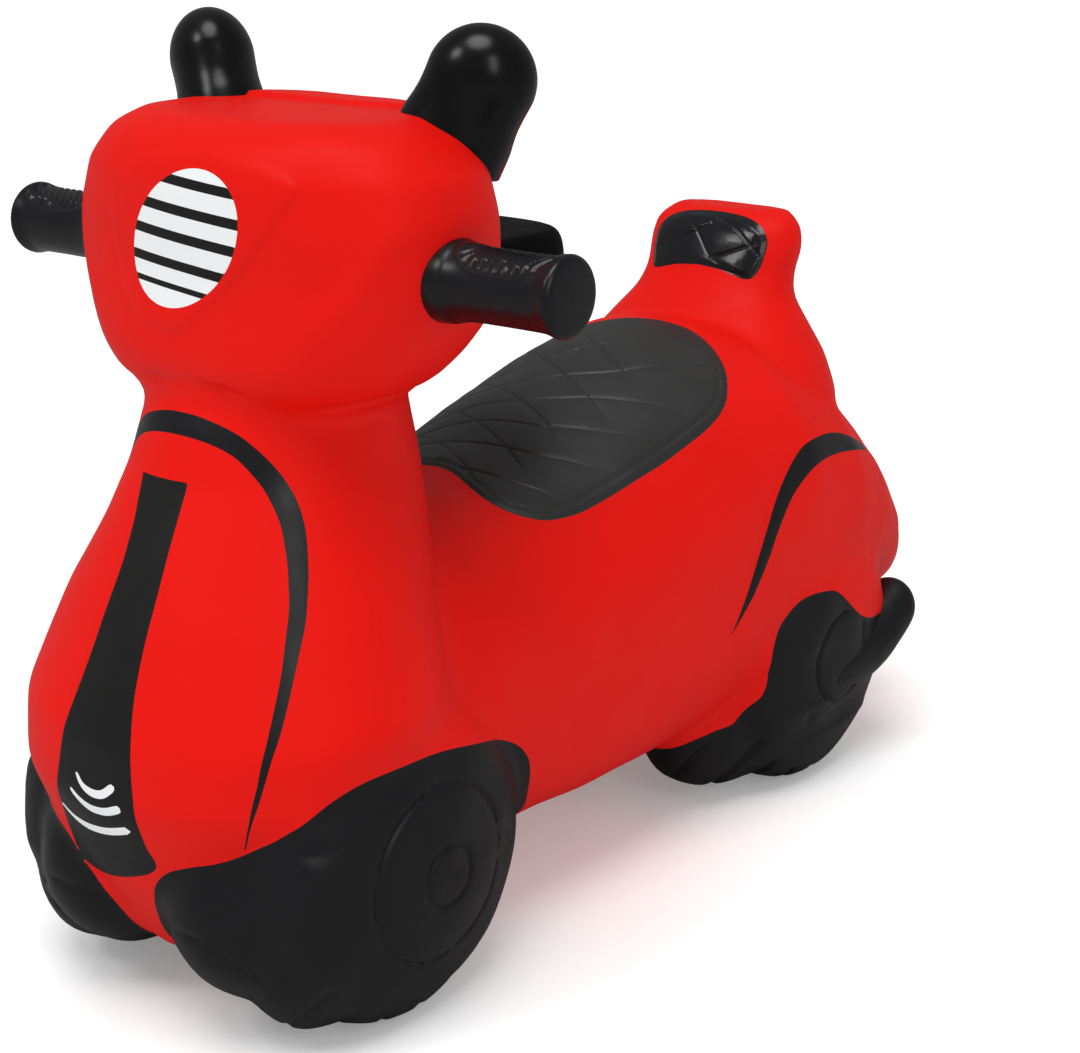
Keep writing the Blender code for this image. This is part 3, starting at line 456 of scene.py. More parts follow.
def piece(name, points, faces, material, replaces=(), sharp_from=60):
    """Makes an object of the scooter from drawn points, finished and riding on the frame."""
    data = bpy.data.meshes.new(name)
    data.from_pydata([tuple(Vector(point) + SHIFT) for point in points], [], faces)
    data.validate()
    thing = add_object(name, data)
    data.shade_smooth()
    data.set_sharp_from_angle(angle=math.radians(sharp_from))
    data.materials.append(material)
    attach(thing, "root")
    if replaces:
        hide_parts(*replaces)
    return thing


def tube_faces(ring_count, count, closed=False):
    """Faces between rings of equal point counts, with both ends capped unless it closes on itself."""
    faces = []
    rows = ring_count if closed else ring_count - 1
    for row in range(rows):
        below, above = row * count, (row + 1) % ring_count * count
        for i in range(count):
            j = (i + 1) % count
            faces.append((below + i, below + j, above + j, above + i))
    if not closed:
        faces.append(tuple(reversed(range(count))))
        faces.append(tuple(range((ring_count - 1) * count, ring_count * count)))
    return faces


def tube_piece(name, points, count, material, node, flipped=False, closed=False, sharp_from=60):
    """Makes a piece of rings of points, its faces turned over where the rings run the other way."""
    faces = tube_faces(len(points) // count, count, closed)
    if flipped:
        faces = [face[::-1] for face in faces]
    piece(name, points, faces, material, (node,), sharp_from)


def loft_mesh(rings):
    """A plain closed loft for the blend."""
    data = bpy.data.meshes.new("loft")
    data.from_pydata([point for ring in rings for point in ring], [], tube_faces(len(rings), len(rings[0])))
    mesh = bmesh.new()
    mesh.from_mesh(data)
    bmesh.ops.recalc_face_normals(mesh, faces=mesh.faces)
    return mesh


def level_rings(rows, count=64):
    """Level rings of a standing form."""
    return [[(x, (front + back) / 2 + y, z) for x, y in superellipse(half, (back - front) / 2, power, count)]
            for z, front, back, half, power in rows]


def cross_rings(rows):
    """Upright rings of a form that runs from front to back."""
    rings = []
    for y, bottom, top, half, top_power, under_power in rows:
        middle, height = (bottom + top) / 2, (top - bottom) / 2
        upper, under = superellipse(half, height, top_power), superellipse(half, height, under_power)
        chosen = [a if a[1] >= 0 else b for a, b in zip(upper, under)]
        rings.append([(x, y, middle + up) for x, up in chosen])
    return rings


def wheel_rings(rows, side, axle_y, radius):
    """Rings of a wheel bulge from its inner to its outer face."""
    return [[(side * out, axle_y + u, radius - TREAD_SINK + v)
             for u, v in superellipse(radius * share, radius * share, 2.0)] for out, share in rows]


def bulge_mesh(side, centre, halves):
    """An egg-shaped bulge."""
    mesh = bmesh.new()
    bmesh.ops.create_uvsphere(mesh, u_segments=48, v_segments=24, radius=1)
    bmesh.ops.scale(mesh, vec=halves, verts=mesh.verts)
    bmesh.ops.translate(mesh, vec=(side * centre[0], centre[1], centre[2]), verts=mesh.verts)
    return mesh


def blended_skin():
    """The whole blown form as one smooth mesh: lofts and bulges, blended, alike on both sides."""
    rings = (level_rings(COLUMN), level_rings(HEAD), cross_rings(BODY), level_rings(BACKREST))
    meshes = [loft_mesh(form) for form in rings]
    for side in (1, -1):
        meshes.append(loft_mesh(wheel_rings(FRONT_WHEEL, side, FRONT_AXLE_Y, FRONT_RADIUS)))
        meshes.append(loft_mesh(wheel_rings(REAR_WHEEL, side, REAR_AXLE_Y, REAR_RADIUS)))
        meshes += [bulge_mesh(side, *bulge) for bulge in (NOSE, SHOULDER, KEEL)]
    joined = bmesh.new()
    for mesh in meshes:
        data = bpy.data.meshes.new("part")
        mesh.to_mesh(data)
        joined.from_mesh(data)
        mesh.free()
        bpy.data.meshes.remove(data)
    data = bpy.data.meshes.new("blend")
    joined.to_mesh(data)
    joined.free()
    thing = add_object("blend", data)
    remesh = thing.modifiers.new("remesh", "REMESH")
    remesh.mode = "VOXEL"
    remesh.voxel_size = MESH_STEP
    smooth = thing.modifiers.new("smooth", "SMOOTH")
    smooth.factor = 0.5
    smooth.iterations = BLEND_PASSES
    pair = thing.modifiers.new("pair", "MIRROR")
    pair.use_axis = (True, False, False)
    pair.use_bisect_axis = (True, False, False)
    pair.merge_threshold = MIDDLE_MERGE
    graph = bpy.context.evaluated_depsgraph_get()
    result = bmesh.new()
    result.from_mesh(bpy.data.meshes.new_from_object(thing.evaluated_get(graph)))
    bmesh.ops.remove_doubles(result, verts=result.verts, dist=POINT_MERGE)
    bpy.data.objects.remove(thing)
    return result


# Distances

def places(mesh):
    """A mesh's points and normals as arrays."""
    mesh.normal_update()
    points = np.array([vertex.co[:] for vertex in mesh.verts])
    normals = np.array([vertex.normal[:] for vertex in mesh.verts])
    return points, normals


def path_distance(points, path):
    """Distance from each point to an open path, and the share of the path at its nearest place."""
    path = np.array(path, float)
    best = np.full(len(points), np.inf)
    share = np.zeros(len(points))
    for i, (start, end) in enumerate(zip(path[:-1], path[1:])):
        along = end - start
        t = np.clip((points - start) @ along / max(along @ along, 1e-12), 0, 1)
        distance = np.linalg.norm(points - start - t[:, None] * along, axis=1)
        nearer = distance < best
        best[nearer] = distance[nearer]
        share[nearer] = (i + t[nearer]) / (len(path) - 1)
    return best, share


def outline_depth(points, outline):
    """How far inside a closed outline each point lies, negative outside it and past the margin held there."""
    outline = np.array(outline, float)
    depth = np.full(len(points), -OUTLINE_MARGIN)
    near = ((points > outline.min(0) - OUTLINE_MARGIN) & (points < outline.max(0) + OUTLINE_MARGIN)).all(1)
    chosen = points[near]
    closed = np.vstack([outline, outline[:1]])
    distance, _ = path_distance(chosen, closed)
    inside = np.zeros(len(chosen), bool)
    for (u0, v0), (u1, v1) in zip(closed[:-1], closed[1:]):
        crosses = (v0 > chosen[:, 1]) != (v1 > chosen[:, 1])
        inside ^= crosses & (chosen[:, 0] < (u1 - u0) * (chosen[:, 1] - v0) / ((v1 - v0) or 1e-12) + u0)
    depth[near] = np.maximum(np.where(inside, distance, -distance), -OUTLINE_MARGIN)
    return depth


def smooth_line(points, steps=5):
    """Adds points between an open line's points on a smooth curve through them."""
    line = [np.array(point, float) for point in points]
    result = []
    for i in range(len(line) - 1):
        before, start = line[max(i - 1, 0)], line[i]
        end, after = line[i + 1], line[min(i + 2, len(line) - 1)]
        for step in range(steps):
            t = step / steps
            result.append(0.5 * (2 * start + (end - before) * t + (2 * before - 5 * start + 4 * end - after) * t * t
                                 + (3 * start - before - 3 * end + after) * t ** 3))
    result.append(line[-1])
    return [tuple(point) for point in result]


def rise(values, start, end):
    """A soft step from 0 at the start to 1 at the end."""
    t = np.clip((values - start) / (end - start), 0, 1)
    return t * t * (3 - 2 * t)


def ridge(distance, width):
    """A soft ridge of height 1 over a line."""
    return np.exp(-(distance / width) ** 2)


def both_sides(half):
    """Closes a half outline over the middle."""
    return list(half) + [(-x, z) for x, z in reversed(half) if x > 0]


# Sprayed zones, as how far inside each a point lies. They are numbered in the order in which faces are tested.

SKIN, FRONT_TYRE, REAR_TYRE, REAR_STRIPE, SEAT, REST, LIGHT, ARCH, CENTRE = range(9)
BARS, ARCS = 1, 2


def front_view(points):
    return points[:, [0, 2]]


def side_depth(points, outline):
    return outline_depth(points[:, [1, 2]], outline)


def front_depth(points, outline):
    return outline_depth(front_view(points), outline)


def front_tyre(points):
    side = smooth_line(FRONT_ZONE_SIDE) + list(FRONT_ZONE_SIDE_CORNERS)
    face = smooth_line(FRONT_ZONE_FACE) + list(FRONT_ZONE_FACE_CORNERS)
    out = np.where(points[:, 0] < 0, -points[:, 0] - FRONT_ZONE_SKEW, points[:, 0])
    return np.minimum(side_depth(points, side), outline_depth(np.column_stack([out, points[:, 2]]), face))


def rear_tyre(points):
    outline = smooth_line(REAR_ZONE_SIDE) + list(REAR_ZONE_CORNERS)
    return np.minimum(side_depth(points, outline), np.abs(points[:, 0]) - REAR_ZONE_INNER_X)


def rear_stripe(points):
    outline = smooth_line(REAR_STRIPE_UPPER) + smooth_line(REAR_STRIPE_LOWER)
    return np.minimum(side_depth(points, outline), np.abs(points[:, 0]) - WALL)


def seat_zone(points):
    outline = both_sides(smooth_line(SEAT_HALF, 4))
    level = np.minimum(points[:, 2] - SEAT_LOW, SEAT_HIGH - points[:, 2])
    return np.minimum(outline_depth(points[:, :2], outline), level)


def rest_zone(points):
    outline = both_sides(smooth_line(REST_PAD_HALF, 4))
    between = np.minimum(points[:, 1] - REST_FRONT_Y, REST_REAR_Y - points[:, 1])
    return np.minimum(front_depth(points, outline), between)


def light_zone(points):
    outline = [(LIGHT_CENTRE[0] + LIGHT_HALVES[0] * math.cos(angle),
                LIGHT_CENTRE[1] + LIGHT_HALVES[1] * math.sin(angle + LIGHT_LEAN)) for angle in around(LIGHT_STEPS)]
    return np.minimum(front_depth(points, outline), -points[:, 1])


def arch_zone(points):
    outline = both_sides(smooth_line(ARCH_OUTER, 4))
    inner = both_sides(smooth_line(ARCH_INNER, 4)[::-1])
    return np.minimum(np.minimum(front_depth(points, outline), -front_depth(points, inner)), -points[:, 1])


def centre_zone(points):
    outline = smooth_line(CENTRE_STRIPE, 4)
    return np.minimum(front_depth(points, outline), -points[:, 1])


def bars_print(points):
    """The bars printed over the light."""
    flat = front_view(points) - np.array(LIGHT_CENTRE)
    level = flat[:, 1] - BAR_SLOPE * flat[:, 0]
    bars = np.max([half - np.abs(level - height) for height, half in LIGHT_BARS], axis=0)
    return np.minimum(bars, light_zone(points))


def arcs_print(points):
    """The arcs printed low on the centre stripe, thin at one end."""
    flat = front_view(points)
    best = np.full(len(points), -OUTLINE_MARGIN)
    for arc in STRIPE_ARCS:
        distance, share = path_distance(flat, smooth_line(arc, 5))
        best = np.maximum(best, ARC_THIN + (ARC_THICK - ARC_THIN) * rise(share, 0.0, ARC_SWELL) - distance)
    return np.minimum(best, -points[:, 1])


# Moulded relief

def head_relief(points, normals):
    """Panel round the light, cheek edge, neck crease and the plate on top."""
    near = (points[:, 2] > HEAD_LOW) & (points[:, 1] < HEAD_REAR)
    p, n = points[near], normals[near]
    mirrored = np.column_stack([np.abs(p[:, 0]), p[:, 1], p[:, 2]])
    facing = rise(-n[:, 1], 0.05, 0.4)
    depth = front_depth(p, smooth_line(PANEL, 4))
    panel = PANEL_LIFT * rise(depth, -PANEL_EDGE, PANEL_EDGE) * facing * (0.4 + 0.6 * rise(p[:, 0], -0.040, 0.0))
    cheek, share = path_distance(mirrored, smooth_line(CHEEK_EDGE, 4))
    cheek = CHEEK_LIFT * ridge(cheek, CHEEK_WIDTH) * rise(share, 0.0, 0.4) * rise(1 - share, 0.0, 0.15)
    neck, _ = path_distance(mirrored, smooth_line(NECK_CREASE, 4))
    plate = np.minimum(PLATE_HALF_WIDTH - mirrored[:, 0], p[:, 1] - PLATE_FRONT)
    plate = PLATE_LIFT * rise(plate, -PLATE_EDGE, PLATE_EDGE) * rise(n[:, 2], 0.5, 0.85)
    lift = np.zeros(len(points))
    lift[near] = panel + cheek - NECK_DEPTH * ridge(neck, NECK_WIDTH) + plate
    return lift


def fender_relief(points):
    """The swell of the tail below the rear stripe."""
    outline = smooth_line(REAR_STRIPE_UPPER) + list(FENDER_CORNERS)
    depth = side_depth(points, outline)
    return FENDER_LIFT * rise(depth, -0.003, 0.006) * rise(np.abs(points[:, 0]), 0.045, 0.070)


def tyre_relief(points, normals, zone, axle_y, radius, rings, lug_depth, dents):
    """Rings, slanted tread slots, folds and dents of one pair of wheels."""
    y, z = points[:, 1] - axle_y, points[:, 2] - (radius - TREAD_SINK)
    out = np.abs(points[:, 0])
    r = np.hypot(y, z)
    outer = rise(np.abs(normals[:, 0]), 0.5, 0.8) * rise(out, 0.080, 0.090)
    lift = np.zeros(len(points))
    for ring in rings:
        lift += (RING_STEP * rise(ring - r, 0.0, 0.004) - RING_DEPTH * ridge(r - ring, RING_WIDTH)) * outer
    angle = np.arctan2(y, -z) + LUG_SLANT * (out - LUG_MIDDLE)
    phase = np.abs((angle * LUG_COUNT / math.tau + 0.5) % 1.0 - 0.5)
    lower = rise(-z, 0.15 * radius, 0.50 * radius)
    band = rise(r, 0.84 * radius, 0.92 * radius) * rise(out, 0.050, 0.062)
    lift -= lug_depth * ridge(phase, LUG_WIDTH) * lower * band
    mirrored = np.column_stack([out, points[:, 1], points[:, 2]])
    for middle, reach, depth in dents:
        lift -= depth * np.exp(-(((mirrored - middle) / reach) ** 2).sum(1))
    fold, share = path_distance(mirrored, smooth_line(FRONT_FOLD, 4))
    lift -= FOLD_DEPTH * ridge(fold, FOLD_WIDTH) * rise(share, 0.0, 0.2) * rise(1 - share, 0.0, 0.3)
    return lift * rise(zone, 0.0, 0.004)


def soft_waves(points, scale, amount):
    """Slow unevenness of a blown skin, from a few fixed waves."""
    total = np.zeros(len(points))
    for turn, (a, b, c, start) in enumerate(WAVE_DIRECTIONS):
        total += np.sin((points @ np.array([a, b, c])) * scale * (1 + 0.23 * turn) + start)
    return total * amount / len(WAVE_DIRECTIONS)


def tyre_waves(points, zone):
    """Slight unevenness of the black wheels."""
    return soft_waves(points, *TYRE_WAVES) * rise(zone, 0.0, 0.006)


# Cutting the skin into its zones. Bands beside the edges in which the mesh is halved, and the steps of relief
# from which it is halved again
EDGE_BAND, PRINT_BAND, STRIPE_BAND, STRIPE_LOW = 0.005, 0.003, 0.0025, 0.15
STEEP_FIRST, STEEP_SECOND, STEEP_PAD = 0.00042, 0.00034, 0.00010
# A point this near along an edge is moved onto the cut instead of cutting the edge
SNAP_SHARE = 0.2


def refine(mesh, wanted):
    """Halves the mesh where it is wanted."""
    edges = [edge for edge in mesh.edges if wanted[edge.verts[0].index] and wanted[edge.verts[1].index]]
    bmesh.ops.subdivide_edges(mesh, edges=edges, cuts=1, use_grid_fill=True)
    mesh.verts.index_update()


def cut_along(mesh, depth):
    """Cuts the mesh along the line where a depth, given for each point, is 0."""
    depth = list(depth)
    mesh.verts.ensure_lookup_table()
    crossing = [edge for edge in mesh.edges if depth[edge.verts[0].index] * depth[edge.verts[1].index] < 0]
    for edge in crossing:
        a, b = edge.verts
        fa, fb = depth[a.index], depth[b.index]
        if fa * fb >= 0:
            continue
        t = fa / (fa - fb)
        if t < SNAP_SHARE:
            a.co = a.co.lerp(b.co, t)
            depth[a.index] = 0.0
        elif t > 1 - SNAP_SHARE:
            b.co = a.co.lerp(b.co, t)
            depth[b.index] = 0.0
    marked = [mesh.verts[i] for i, value in enumerate(depth) if value == 0.0]
    for edge in [edge for edge in mesh.edges if depth[edge.verts[0].index] * depth[edge.verts[1].index] < 0]:
        a, b = edge.verts
        fa, fb = depth[a.index], depth[b.index]
        _, new = bmesh.utils.edge_split(edge, a, fa / (fa - fb))
        new.index = len(depth)
        depth.append(0.0)
        marked.append(new)
    bmesh.ops.connect_verts(mesh, verts=marked)
    mesh.verts.index_update()
    mesh.verts.ensure_lookup_table()


def deepest(points, zones):
    """How far inside the nearest of the zones each point lies."""
    return np.max([zone(points) for zone in zones], axis=0)


def face_kinds(centres, zones):
    """The number of the zone that each face lies in, counted from 1, or 0 outside them all."""
    depths = np.array([zone(centres) for zone in zones])
    return np.where(depths.max(0) > 0, depths.argmax(0) + 1, 0)


def wall(thing):
    """Gives an open zone its wall."""
    solid = thing.modifiers.new("wall", "SOLIDIFY")
    solid.thickness = WALL
    solid.offset = -1


def move_points(mesh, moved):
    for vertex, place in zip(mesh.verts, moved):
        vertex.co = place


def take_faces(mesh, chosen, name, material, replaces=(), relief=None, finer=0):
    """Makes a piece of some of the mesh's faces, refined where relief of its own is steep."""
    part = mesh.copy()
    part.faces.ensure_lookup_table()
    unwanted = [face for face, keep in zip(part.faces, chosen) if not keep]
    bmesh.ops.delete(part, geom=unwanted, context="FACES")
    part.verts.index_update()
    for level in range(finer + 1 if relief else 0):
        points, _ = places(part)
        refine(part, np.ones(len(points), bool) if level < finer else steep(relief(points), part, STEEP_PAD))
    if relief:
        points, normals = places(part)
        move_points(part, points + normals * relief(points)[:, None])
    points = [vertex.co[:] for vertex in part.verts]
    faces = [[vertex.index for vertex in face.verts] for face in part.faces]
    rim = {frozenset((edge.verts[0].index, edge.verts[1].index)) for edge in part.edges if edge.is_boundary}
    part.free()
    thing = piece(name, points, faces, material, replaces)
    for edge in thing.data.edges:
        if frozenset(edge.vertices) in rim:
            edge.use_edge_sharp = True
    wall(thing)


def quilting(flat, seams, inset, rim, shape):
    """Pressed seams that fade at both ends, with soft puffs between them, inside a pad's rim."""
    depth, width, puff = shape
    pressed, nearest = np.zeros(len(flat)), np.full(len(flat), 1.0)
    for seam in seams:
        distance, share = path_distance(flat, smooth_line(seam, 3))
        pressed = np.maximum(pressed, ridge(distance, width) * rise(share, 0.0, 0.10) * rise(1 - share, 0.0, 0.22))
        nearest = np.minimum(nearest, distance)
    fade = rise(inset, rim, 2.5 * rim)
    puffs = puff * rise(nearest, 0.0, PUFF_REACH)
    return rise(inset, 0.0, PAD_EDGE) * PAD_LIFT + fade * (puffs - depth * pressed)


def seat_relief(points):
    """Quilted seat with a rolled rim."""
    inset = seat_zone(points)
    rolled = ROLL_DEPTH * ridge(inset - ROLL_INSET, ROLL_WIDTH)
    return quilting(points[:, :2], SEAT_QUILT, inset, SEAT_RIM, SEAT_SEAM) - rolled


def rest_relief(points):
    """Quilted backrest pad."""
    return quilting(front_view(points), REST_QUILT, rest_zone(points), REST_RIM, REST_SEAM)


def steep(lift, mesh, limit):
    """Points where the relief changes quickly from one point to the next."""
    marked = np.zeros(len(lift), bool)
    ends = np.array([(edge.verts[0].index, edge.verts[1].index) for edge in mesh.edges])
    quick = np.abs(lift[ends[:, 0]] - lift[ends[:, 1]]) > limit
    marked[ends[quick].ravel()] = True
    return marked


def skin_relief(mesh):
    """Height of the moulded relief at each point, with the points' places and normals."""
    points, normals = places(mesh)
    lift = head_relief(points, normals) + fender_relief(points) + soft_waves(points, *SKIN_WAVES)
    front, rear = front_tyre(points), rear_tyre(points)
    lift += tyre_relief(points, normals, front, FRONT_AXLE_Y, FRONT_RADIUS, FRONT_RINGS, FRONT_LUG, FRONT_DENTS)
    lift += tyre_relief(points, normals, rear, REAR_AXLE_Y, REAR_RADIUS, REAR_RINGS, REAR_LUG, REAR_DENTS)
    return points, normals, lift + tyre_waves(points, np.maximum(front, rear))


def make_skin():
    """The blown skin with its relief, cut into its sprayed and printed zones."""
    mesh = blended_skin()
    zones = (front_tyre, rear_tyre, rear_stripe, seat_zone, rest_zone, light_zone, arch_zone, centre_zone)
    prints = (bars_print, arcs_print)
    refine(mesh, np.abs(deepest(places(mesh)[0], zones)) < EDGE_BAND)
    points, normals, lift = skin_relief(mesh)
    stripes = deepest(points, (arch_zone, rear_stripe))
    pointed = (np.abs(stripes) < STRIPE_BAND) & (points[:, 2] < STRIPE_LOW)
    refine(mesh, steep(lift, mesh, STEEP_FIRST) | (np.abs(deepest(points, prints)) < PRINT_BAND) | pointed)
    points, normals, lift = skin_relief(mesh)
    refine(mesh, steep(lift, mesh, STEEP_SECOND))
    points, normals, lift = skin_relief(mesh)
    drawn = points + normals * lift[:, None]
    drawn[:, 2] = np.maximum(drawn[:, 2], 0.0)
    move_points(mesh, drawn)
    for chosen in (zones, prints):
        cut_along(mesh, deepest(places(mesh)[0], chosen))
    centres = np.array([face.calc_center_median()[:] for face in mesh.faces])
    kinds, printed = face_kinds(centres, zones), face_kinds(centres, prints)
    left = centres[:, 0] > 0
    take_faces(mesh, kinds == SKIN, "moulded_skin", RED_VINYL, ("body_skin",))
    for side, word in ((left, "left"), (~left, "right")):
        for kind, name, spray, node in (
            (FRONT_TYRE, "_front_tyre", BLACK_SPRAY, "front_%s_wheel"),
            (REAR_TYRE, "_rear_tyre", BLACK_SPRAY, "rear_%s_wheel"),
            (REAR_STRIPE, "_tail_stripe", STRIPE_SPRAY, "rear_%s_stripe"),
        ):
            take_faces(mesh, (kinds == kind) & side, word + name, spray, (node % word,))
    take_faces(mesh, kinds == SEAT, "quilted_seat", SEAT_SPRAY_WITH_PAINTED_SHEEN, ("seat_pad",), seat_relief, 1)
    take_faces(mesh, kinds == REST, "quilted_backrest", REST_SPRAY, ("backrest_pad",), rest_relief, 2)
    light, centre, bars, arcs = kinds == LIGHT, kinds == CENTRE, printed == BARS, printed == ARCS
    take_faces(mesh, light & ~bars, "lamp_face", WHITE_SPRAY, ("headlight_lens",))
    take_faces(mesh, light & bars, "lamp_bars", BAR_PRINT)
    take_faces(mesh, kinds == ARCH, "arch_stripe", STRIPE_SPRAY, ("apron_arch_stripe",))
    take_faces(mesh, centre & ~arcs, "centre_stripe", BAR_PRINT, ("apron_centre_stripe",))
    take_faces(mesh, centre & arcs, "centre_arcs", WHITE_SPRAY)
    return mesh


# Fittings

def held(value):
    """A number held between 0 and 1."""
    return min(max(value, 0.0), 1.0)


def skin_seat(tree, origin, direction):
    """Where a line from outside first meets the skin."""
    return tree.ray_cast(Vector(origin), Vector(direction))[0]


def make_grip(side, word, tree):
    """A bar grip: flared foot, slanted ribs in an oval on top, and a domed end cap."""
    seat = skin_seat(tree, (side * 0.3, GRIP_Y, GRIP_HEIGHT), (-side, 0, 0))
    length = GRIP_SPAN / 2 - abs(seat.x)
    middle = ((0.5 * length, GRIP_RADIUS - 0.0001),)
    profile = smooth_line(GRIP_FOOT + middle + tuple((length - back, radius) for back, radius in GRIP_END), 12)
    middle, half_along = 0.5 * length + 0.0005, 0.5 * length - OVAL_INSET
    points = []
    for along, radius in profile:
        for angle in around(GRIP_STEPS):
            across = (angle - math.tau if angle > math.pi else angle) * GRIP_RADIUS + OVAL_TURN
            reach = abs((along - middle) / half_along) ** OVAL_POWER + abs(across / OVAL_ROUND) ** OVAL_POWER
            reach **= 1 / OVAL_POWER
            rim = math.exp(-((reach - 1.04) / 0.05) ** 2) * OVAL_RIM
            inside = held((1.0 - reach) / 0.08)
            hook = RIB_HOOK * held((-across - 0.004) / 0.006) ** 2
            wave = abs(math.sin(math.pi * (along - RIB_SLANT * across - hook) / RIB_SPACING))
            radius_here = radius + rim + inside * (RIB_HEIGHT * wave - RIB_SINK)
            points.append((seat.x + side * along, seat.y + math.sin(angle) * radius_here,
                           seat.z + math.cos(angle) * radius_here))
    tube_piece(word + "_bar_grip", points, GRIP_STEPS, GRIP_SPRAY, word + "_grip", side > 0)


def make_mirror(side, word, tree):
    """A domed mirror of oval section, slightly flared where it leaves the head."""
    axis = Vector((side * math.sin(MIRROR_LEAN), math.sin(MIRROR_SWEEP), math.cos(MIRROR_LEAN))).normalized()
    foot = Vector(MIRROR_FOOT) * Vector((side, 1, 1))
    seat = skin_seat(tree, foot + axis * 0.2, -axis)
    top = MIRROR_LENGTH - MIRROR_RADIUS
    wide = Vector((side * math.cos(MIRROR_TURN), math.sin(MIRROR_TURN), 0))
    wide = (wide - axis * wide.dot(axis)).normalized()
    deep = axis.cross(wide)
    profile = [*MIRROR_STEM, (top, 1.0)]
    for step in range(1, 13):
        angle = math.pi / 2 * step / 12.1
        profile.append((top + MIRROR_RADIUS * math.sin(angle), math.cos(angle)))
    points = []
    for along, share in smooth_line(profile, 4):
        for angle in around(MIRROR_STEPS):
            points.append(seat + axis * along + wide * (math.cos(angle) * share * MIRROR_RADIUS)
                          + deep * (side * math.sin(angle) * share * MIRROR_THIN))
    tube_piece(word + "_dome_mirror", points, MIRROR_STEPS, GLOSS_BLACK, word + "_mirror")


def make_dash():
    """The black boss on the rider's side of the head, with rounded edges."""
    rows = []
    for step in range(DASH_ROWS + 1):
        angle = math.pi * (step / DASH_ROWS - 0.5)
        share = 0.5 + 0.5 * math.copysign(abs(math.sin(angle)) ** 0.8, angle)
        draw = 1 - max(math.cos(angle), 0.0) ** 0.35
        rows.append((DASH_LOW + (DASH_TOP - DASH_LOW) * share, DASH_ROOT, DASH_REACH - DASH_DRAWN_BACK * draw,
                     DASH_HALF_WIDTH - DASH_DRAWN_IN * draw, 4.0))
    points = [point for ring in level_rings(rows, DASH_STEPS) for point in ring]
    tube_piece("dash_block", points, DASH_STEPS, DASH_SPRAY, "dash_boss")


def make_exhaust():
    """The exhaust moulded beside the left rear wheel, dished at its open end."""
    rows = smooth_line([(y, height, share * EXHAUST_RADIUS) for y, height, share in EXHAUST], 6)
    end_y, end_z, end_radius = rows[-1]
    rows += [(end_y - 0.0005, end_z, end_radius - 0.0022), (end_y - 0.0060, end_z - 0.003, end_radius - 0.0030),
             (end_y - 0.0080, end_z - 0.004, 0.002)]
    points = []
    for y, height, radius in rows:
        middle = EXHAUST_X - EXHAUST_INWARD * (1 - held((y - EXHAUST[0][0]) / EXHAUST_BEND))
        for angle in around(EXHAUST_STEPS):
            points.append((middle + radius * math.cos(angle), y, height + radius * math.sin(angle)))
    tube_piece("tail_exhaust", points, EXHAUST_STEPS, BLACK_SPRAY, "exhaust_pipe", True)


def make_valve(tree):
    """The needle valve in the belly: moulded boss and rubber core."""
    seat = skin_seat(tree, (0, VALVE_Y, -0.2), (0, 0, 1))
    for name, profile, material, slot, node in (
        ("belly_valve_boss", VALVE_BOSS, RED_VINYL, "red_vinyl", "valve_boss"),
        ("belly_valve_core", VALVE_CORE, VALVE_RUBBER, "valve_rubber", "valve_core"),
    ):
        points = [seat + Vector((radius * math.cos(angle), radius * math.sin(angle), height))
                  for height, radius in profile for angle in around(VALVE_STEPS)]
        tube_piece(name, points, VALVE_STEPS, material, node, True, profile is VALVE_BOSS, 40)


# Stage

def make_camera():
    camera = add_object("photo_camera", bpy.data.cameras.new("photo_camera"))
    camera.data.lens = CAMERA_LENS
    camera.data.clip_start = 0.01
    camera.location = Vector(CAMERA_SPOT) + SHIFT
    camera.rotation_euler = (math.pi / 2 - CAMERA_PITCH, 0, CAMERA_YAW)
    bpy.context.scene.camera = camera


def add_lamp(kind, name, place, target, energy, **settings):
    """A lamp that shines from a place towards a point."""
    lamp = bpy.data.lights.new(name, kind)
    lamp.energy = energy
    for key, setting in settings.items():
        setattr(lamp, key, setting)
    thing = add_object(name, lamp)
    thing.location = place
    thing.rotation_euler = (Vector(target) - Vector(place)).to_track_quat("-Z", "Y").to_euler()


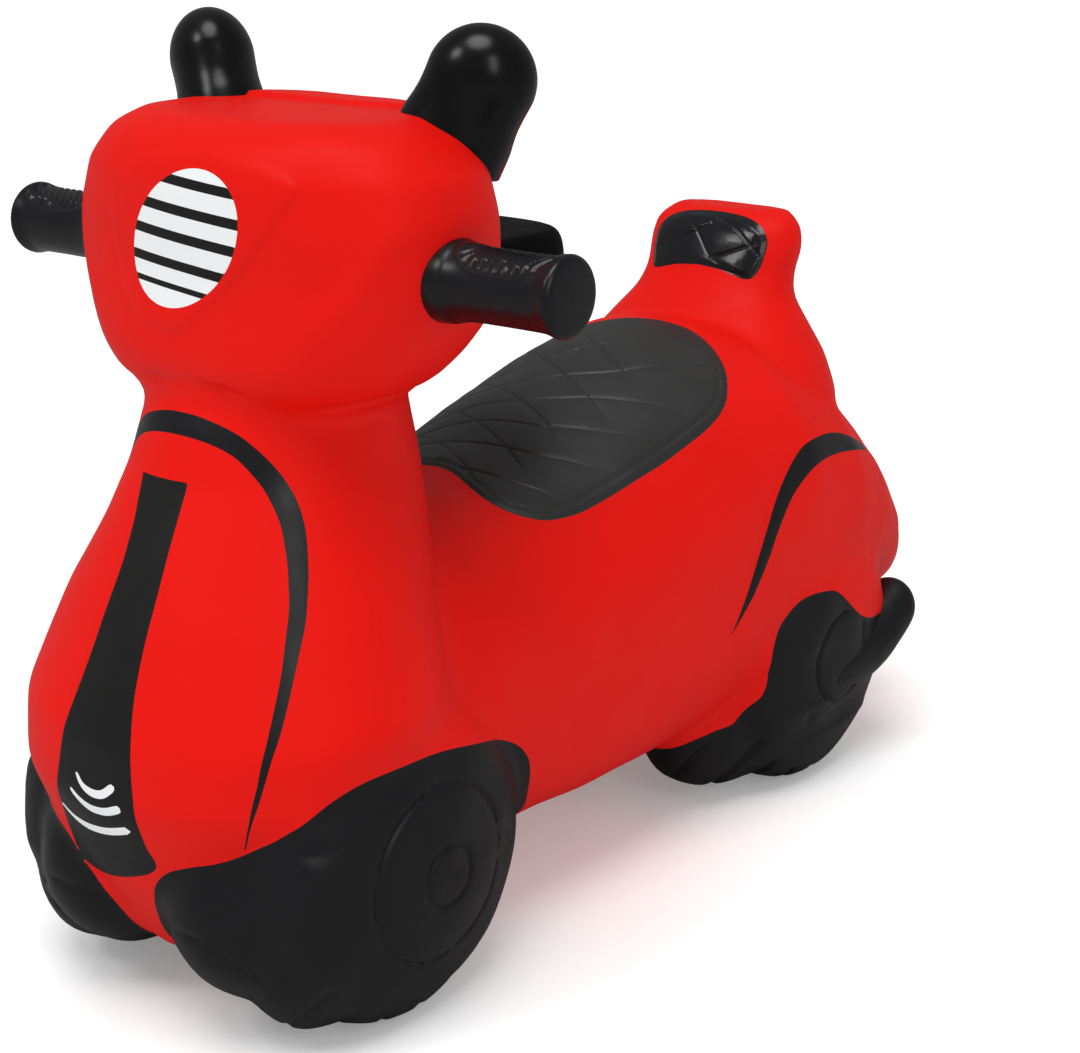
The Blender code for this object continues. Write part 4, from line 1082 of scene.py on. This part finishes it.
def make_room():
    """White all round to the camera. Shiny parts mirror a dimmer room than the one that lights the rest."""
    world = bpy.data.worlds.new("studio")
    bpy.context.scene.world = world
    room = Tree(world)
    room.nodes.remove(room.nodes["Background"])
    lit = room.node("Background", Color=shade(PURE_WHITE, 1), Strength=ROOM_LIGHT)
    dim = room.node("Background", Strength=ROOM_MIRRORED)
    white = room.node("Background", Color=shade(PURE_WHITE, 1))
    lit = room.mix_shaders(room.ray("Glossy"), lit, dim)
    seen = room.maths("MAXIMUM", room.ray("Camera"), room.ray("Transmission"))
    room.put(room.nodes["World Output"], "Surface", room.mix_shaders(seen, lit, white))


def make_stage():
    """A plain white floor, the room and soft lamps."""
    data = bpy.data.meshes.new("floor")
    corners = ((-1, -1), (1, -1), (1, 1), (-1, 1))
    data.from_pydata([(FLOOR_HALF * x, FLOOR_HALF * y, 0) for x, y in corners], [], [(0, 1, 2, 3)])
    floor = add_object("floor", data)
    finish = Finish("floor_white")
    paint = finish.mix(finish.ray("Glossy"), shade(PURE_WHITE, FLOOR_PAINT), shade(PURE_WHITE, FLOOR_MIRRORED))
    glow = finish.mix(finish.ray("Camera"), shade(PURE_WHITE, 0), shade(PURE_WHITE, FLOOR_GLOW))
    finish.set(Base_Color=paint, Roughness=0.9, Specular_IOR_Level=0.0)
    finish.set(Emission_Strength=1.0, Emission_Color=glow)
    data.materials.append(finish.material)
    make_room()
    add_lamp("SUN", "key_sun", (0.14, -0.30, 1.20), (0, 0, 0), 1.60, angle=math.radians(34))
    for name, place, energy, width, height in (
        ("key", (-0.5, -1.5, 1.7), 7, 0.5, 0.5),
        ("side", (1.6, -0.9, 1.2), 4, 0.35, 0.9),
    ):
        add_lamp("AREA", name, place, (0, 0, 0.18), energy, shape="RECTANGLE", size=width, size_y=height)
    bpy.context.scene.view_settings.view_transform = "Standard"


def main():
    make_camera()
    mesh = make_skin()
    tree = BVHTree.FromBMesh(mesh)
    for side, word in ((1, "left"), (-1, "right")):
        make_grip(side, word, tree)
        make_mirror(side, word, tree)
    make_dash()
    make_exhaust()
    make_valve(tree)
    mesh.free()
    make_stage()


main()
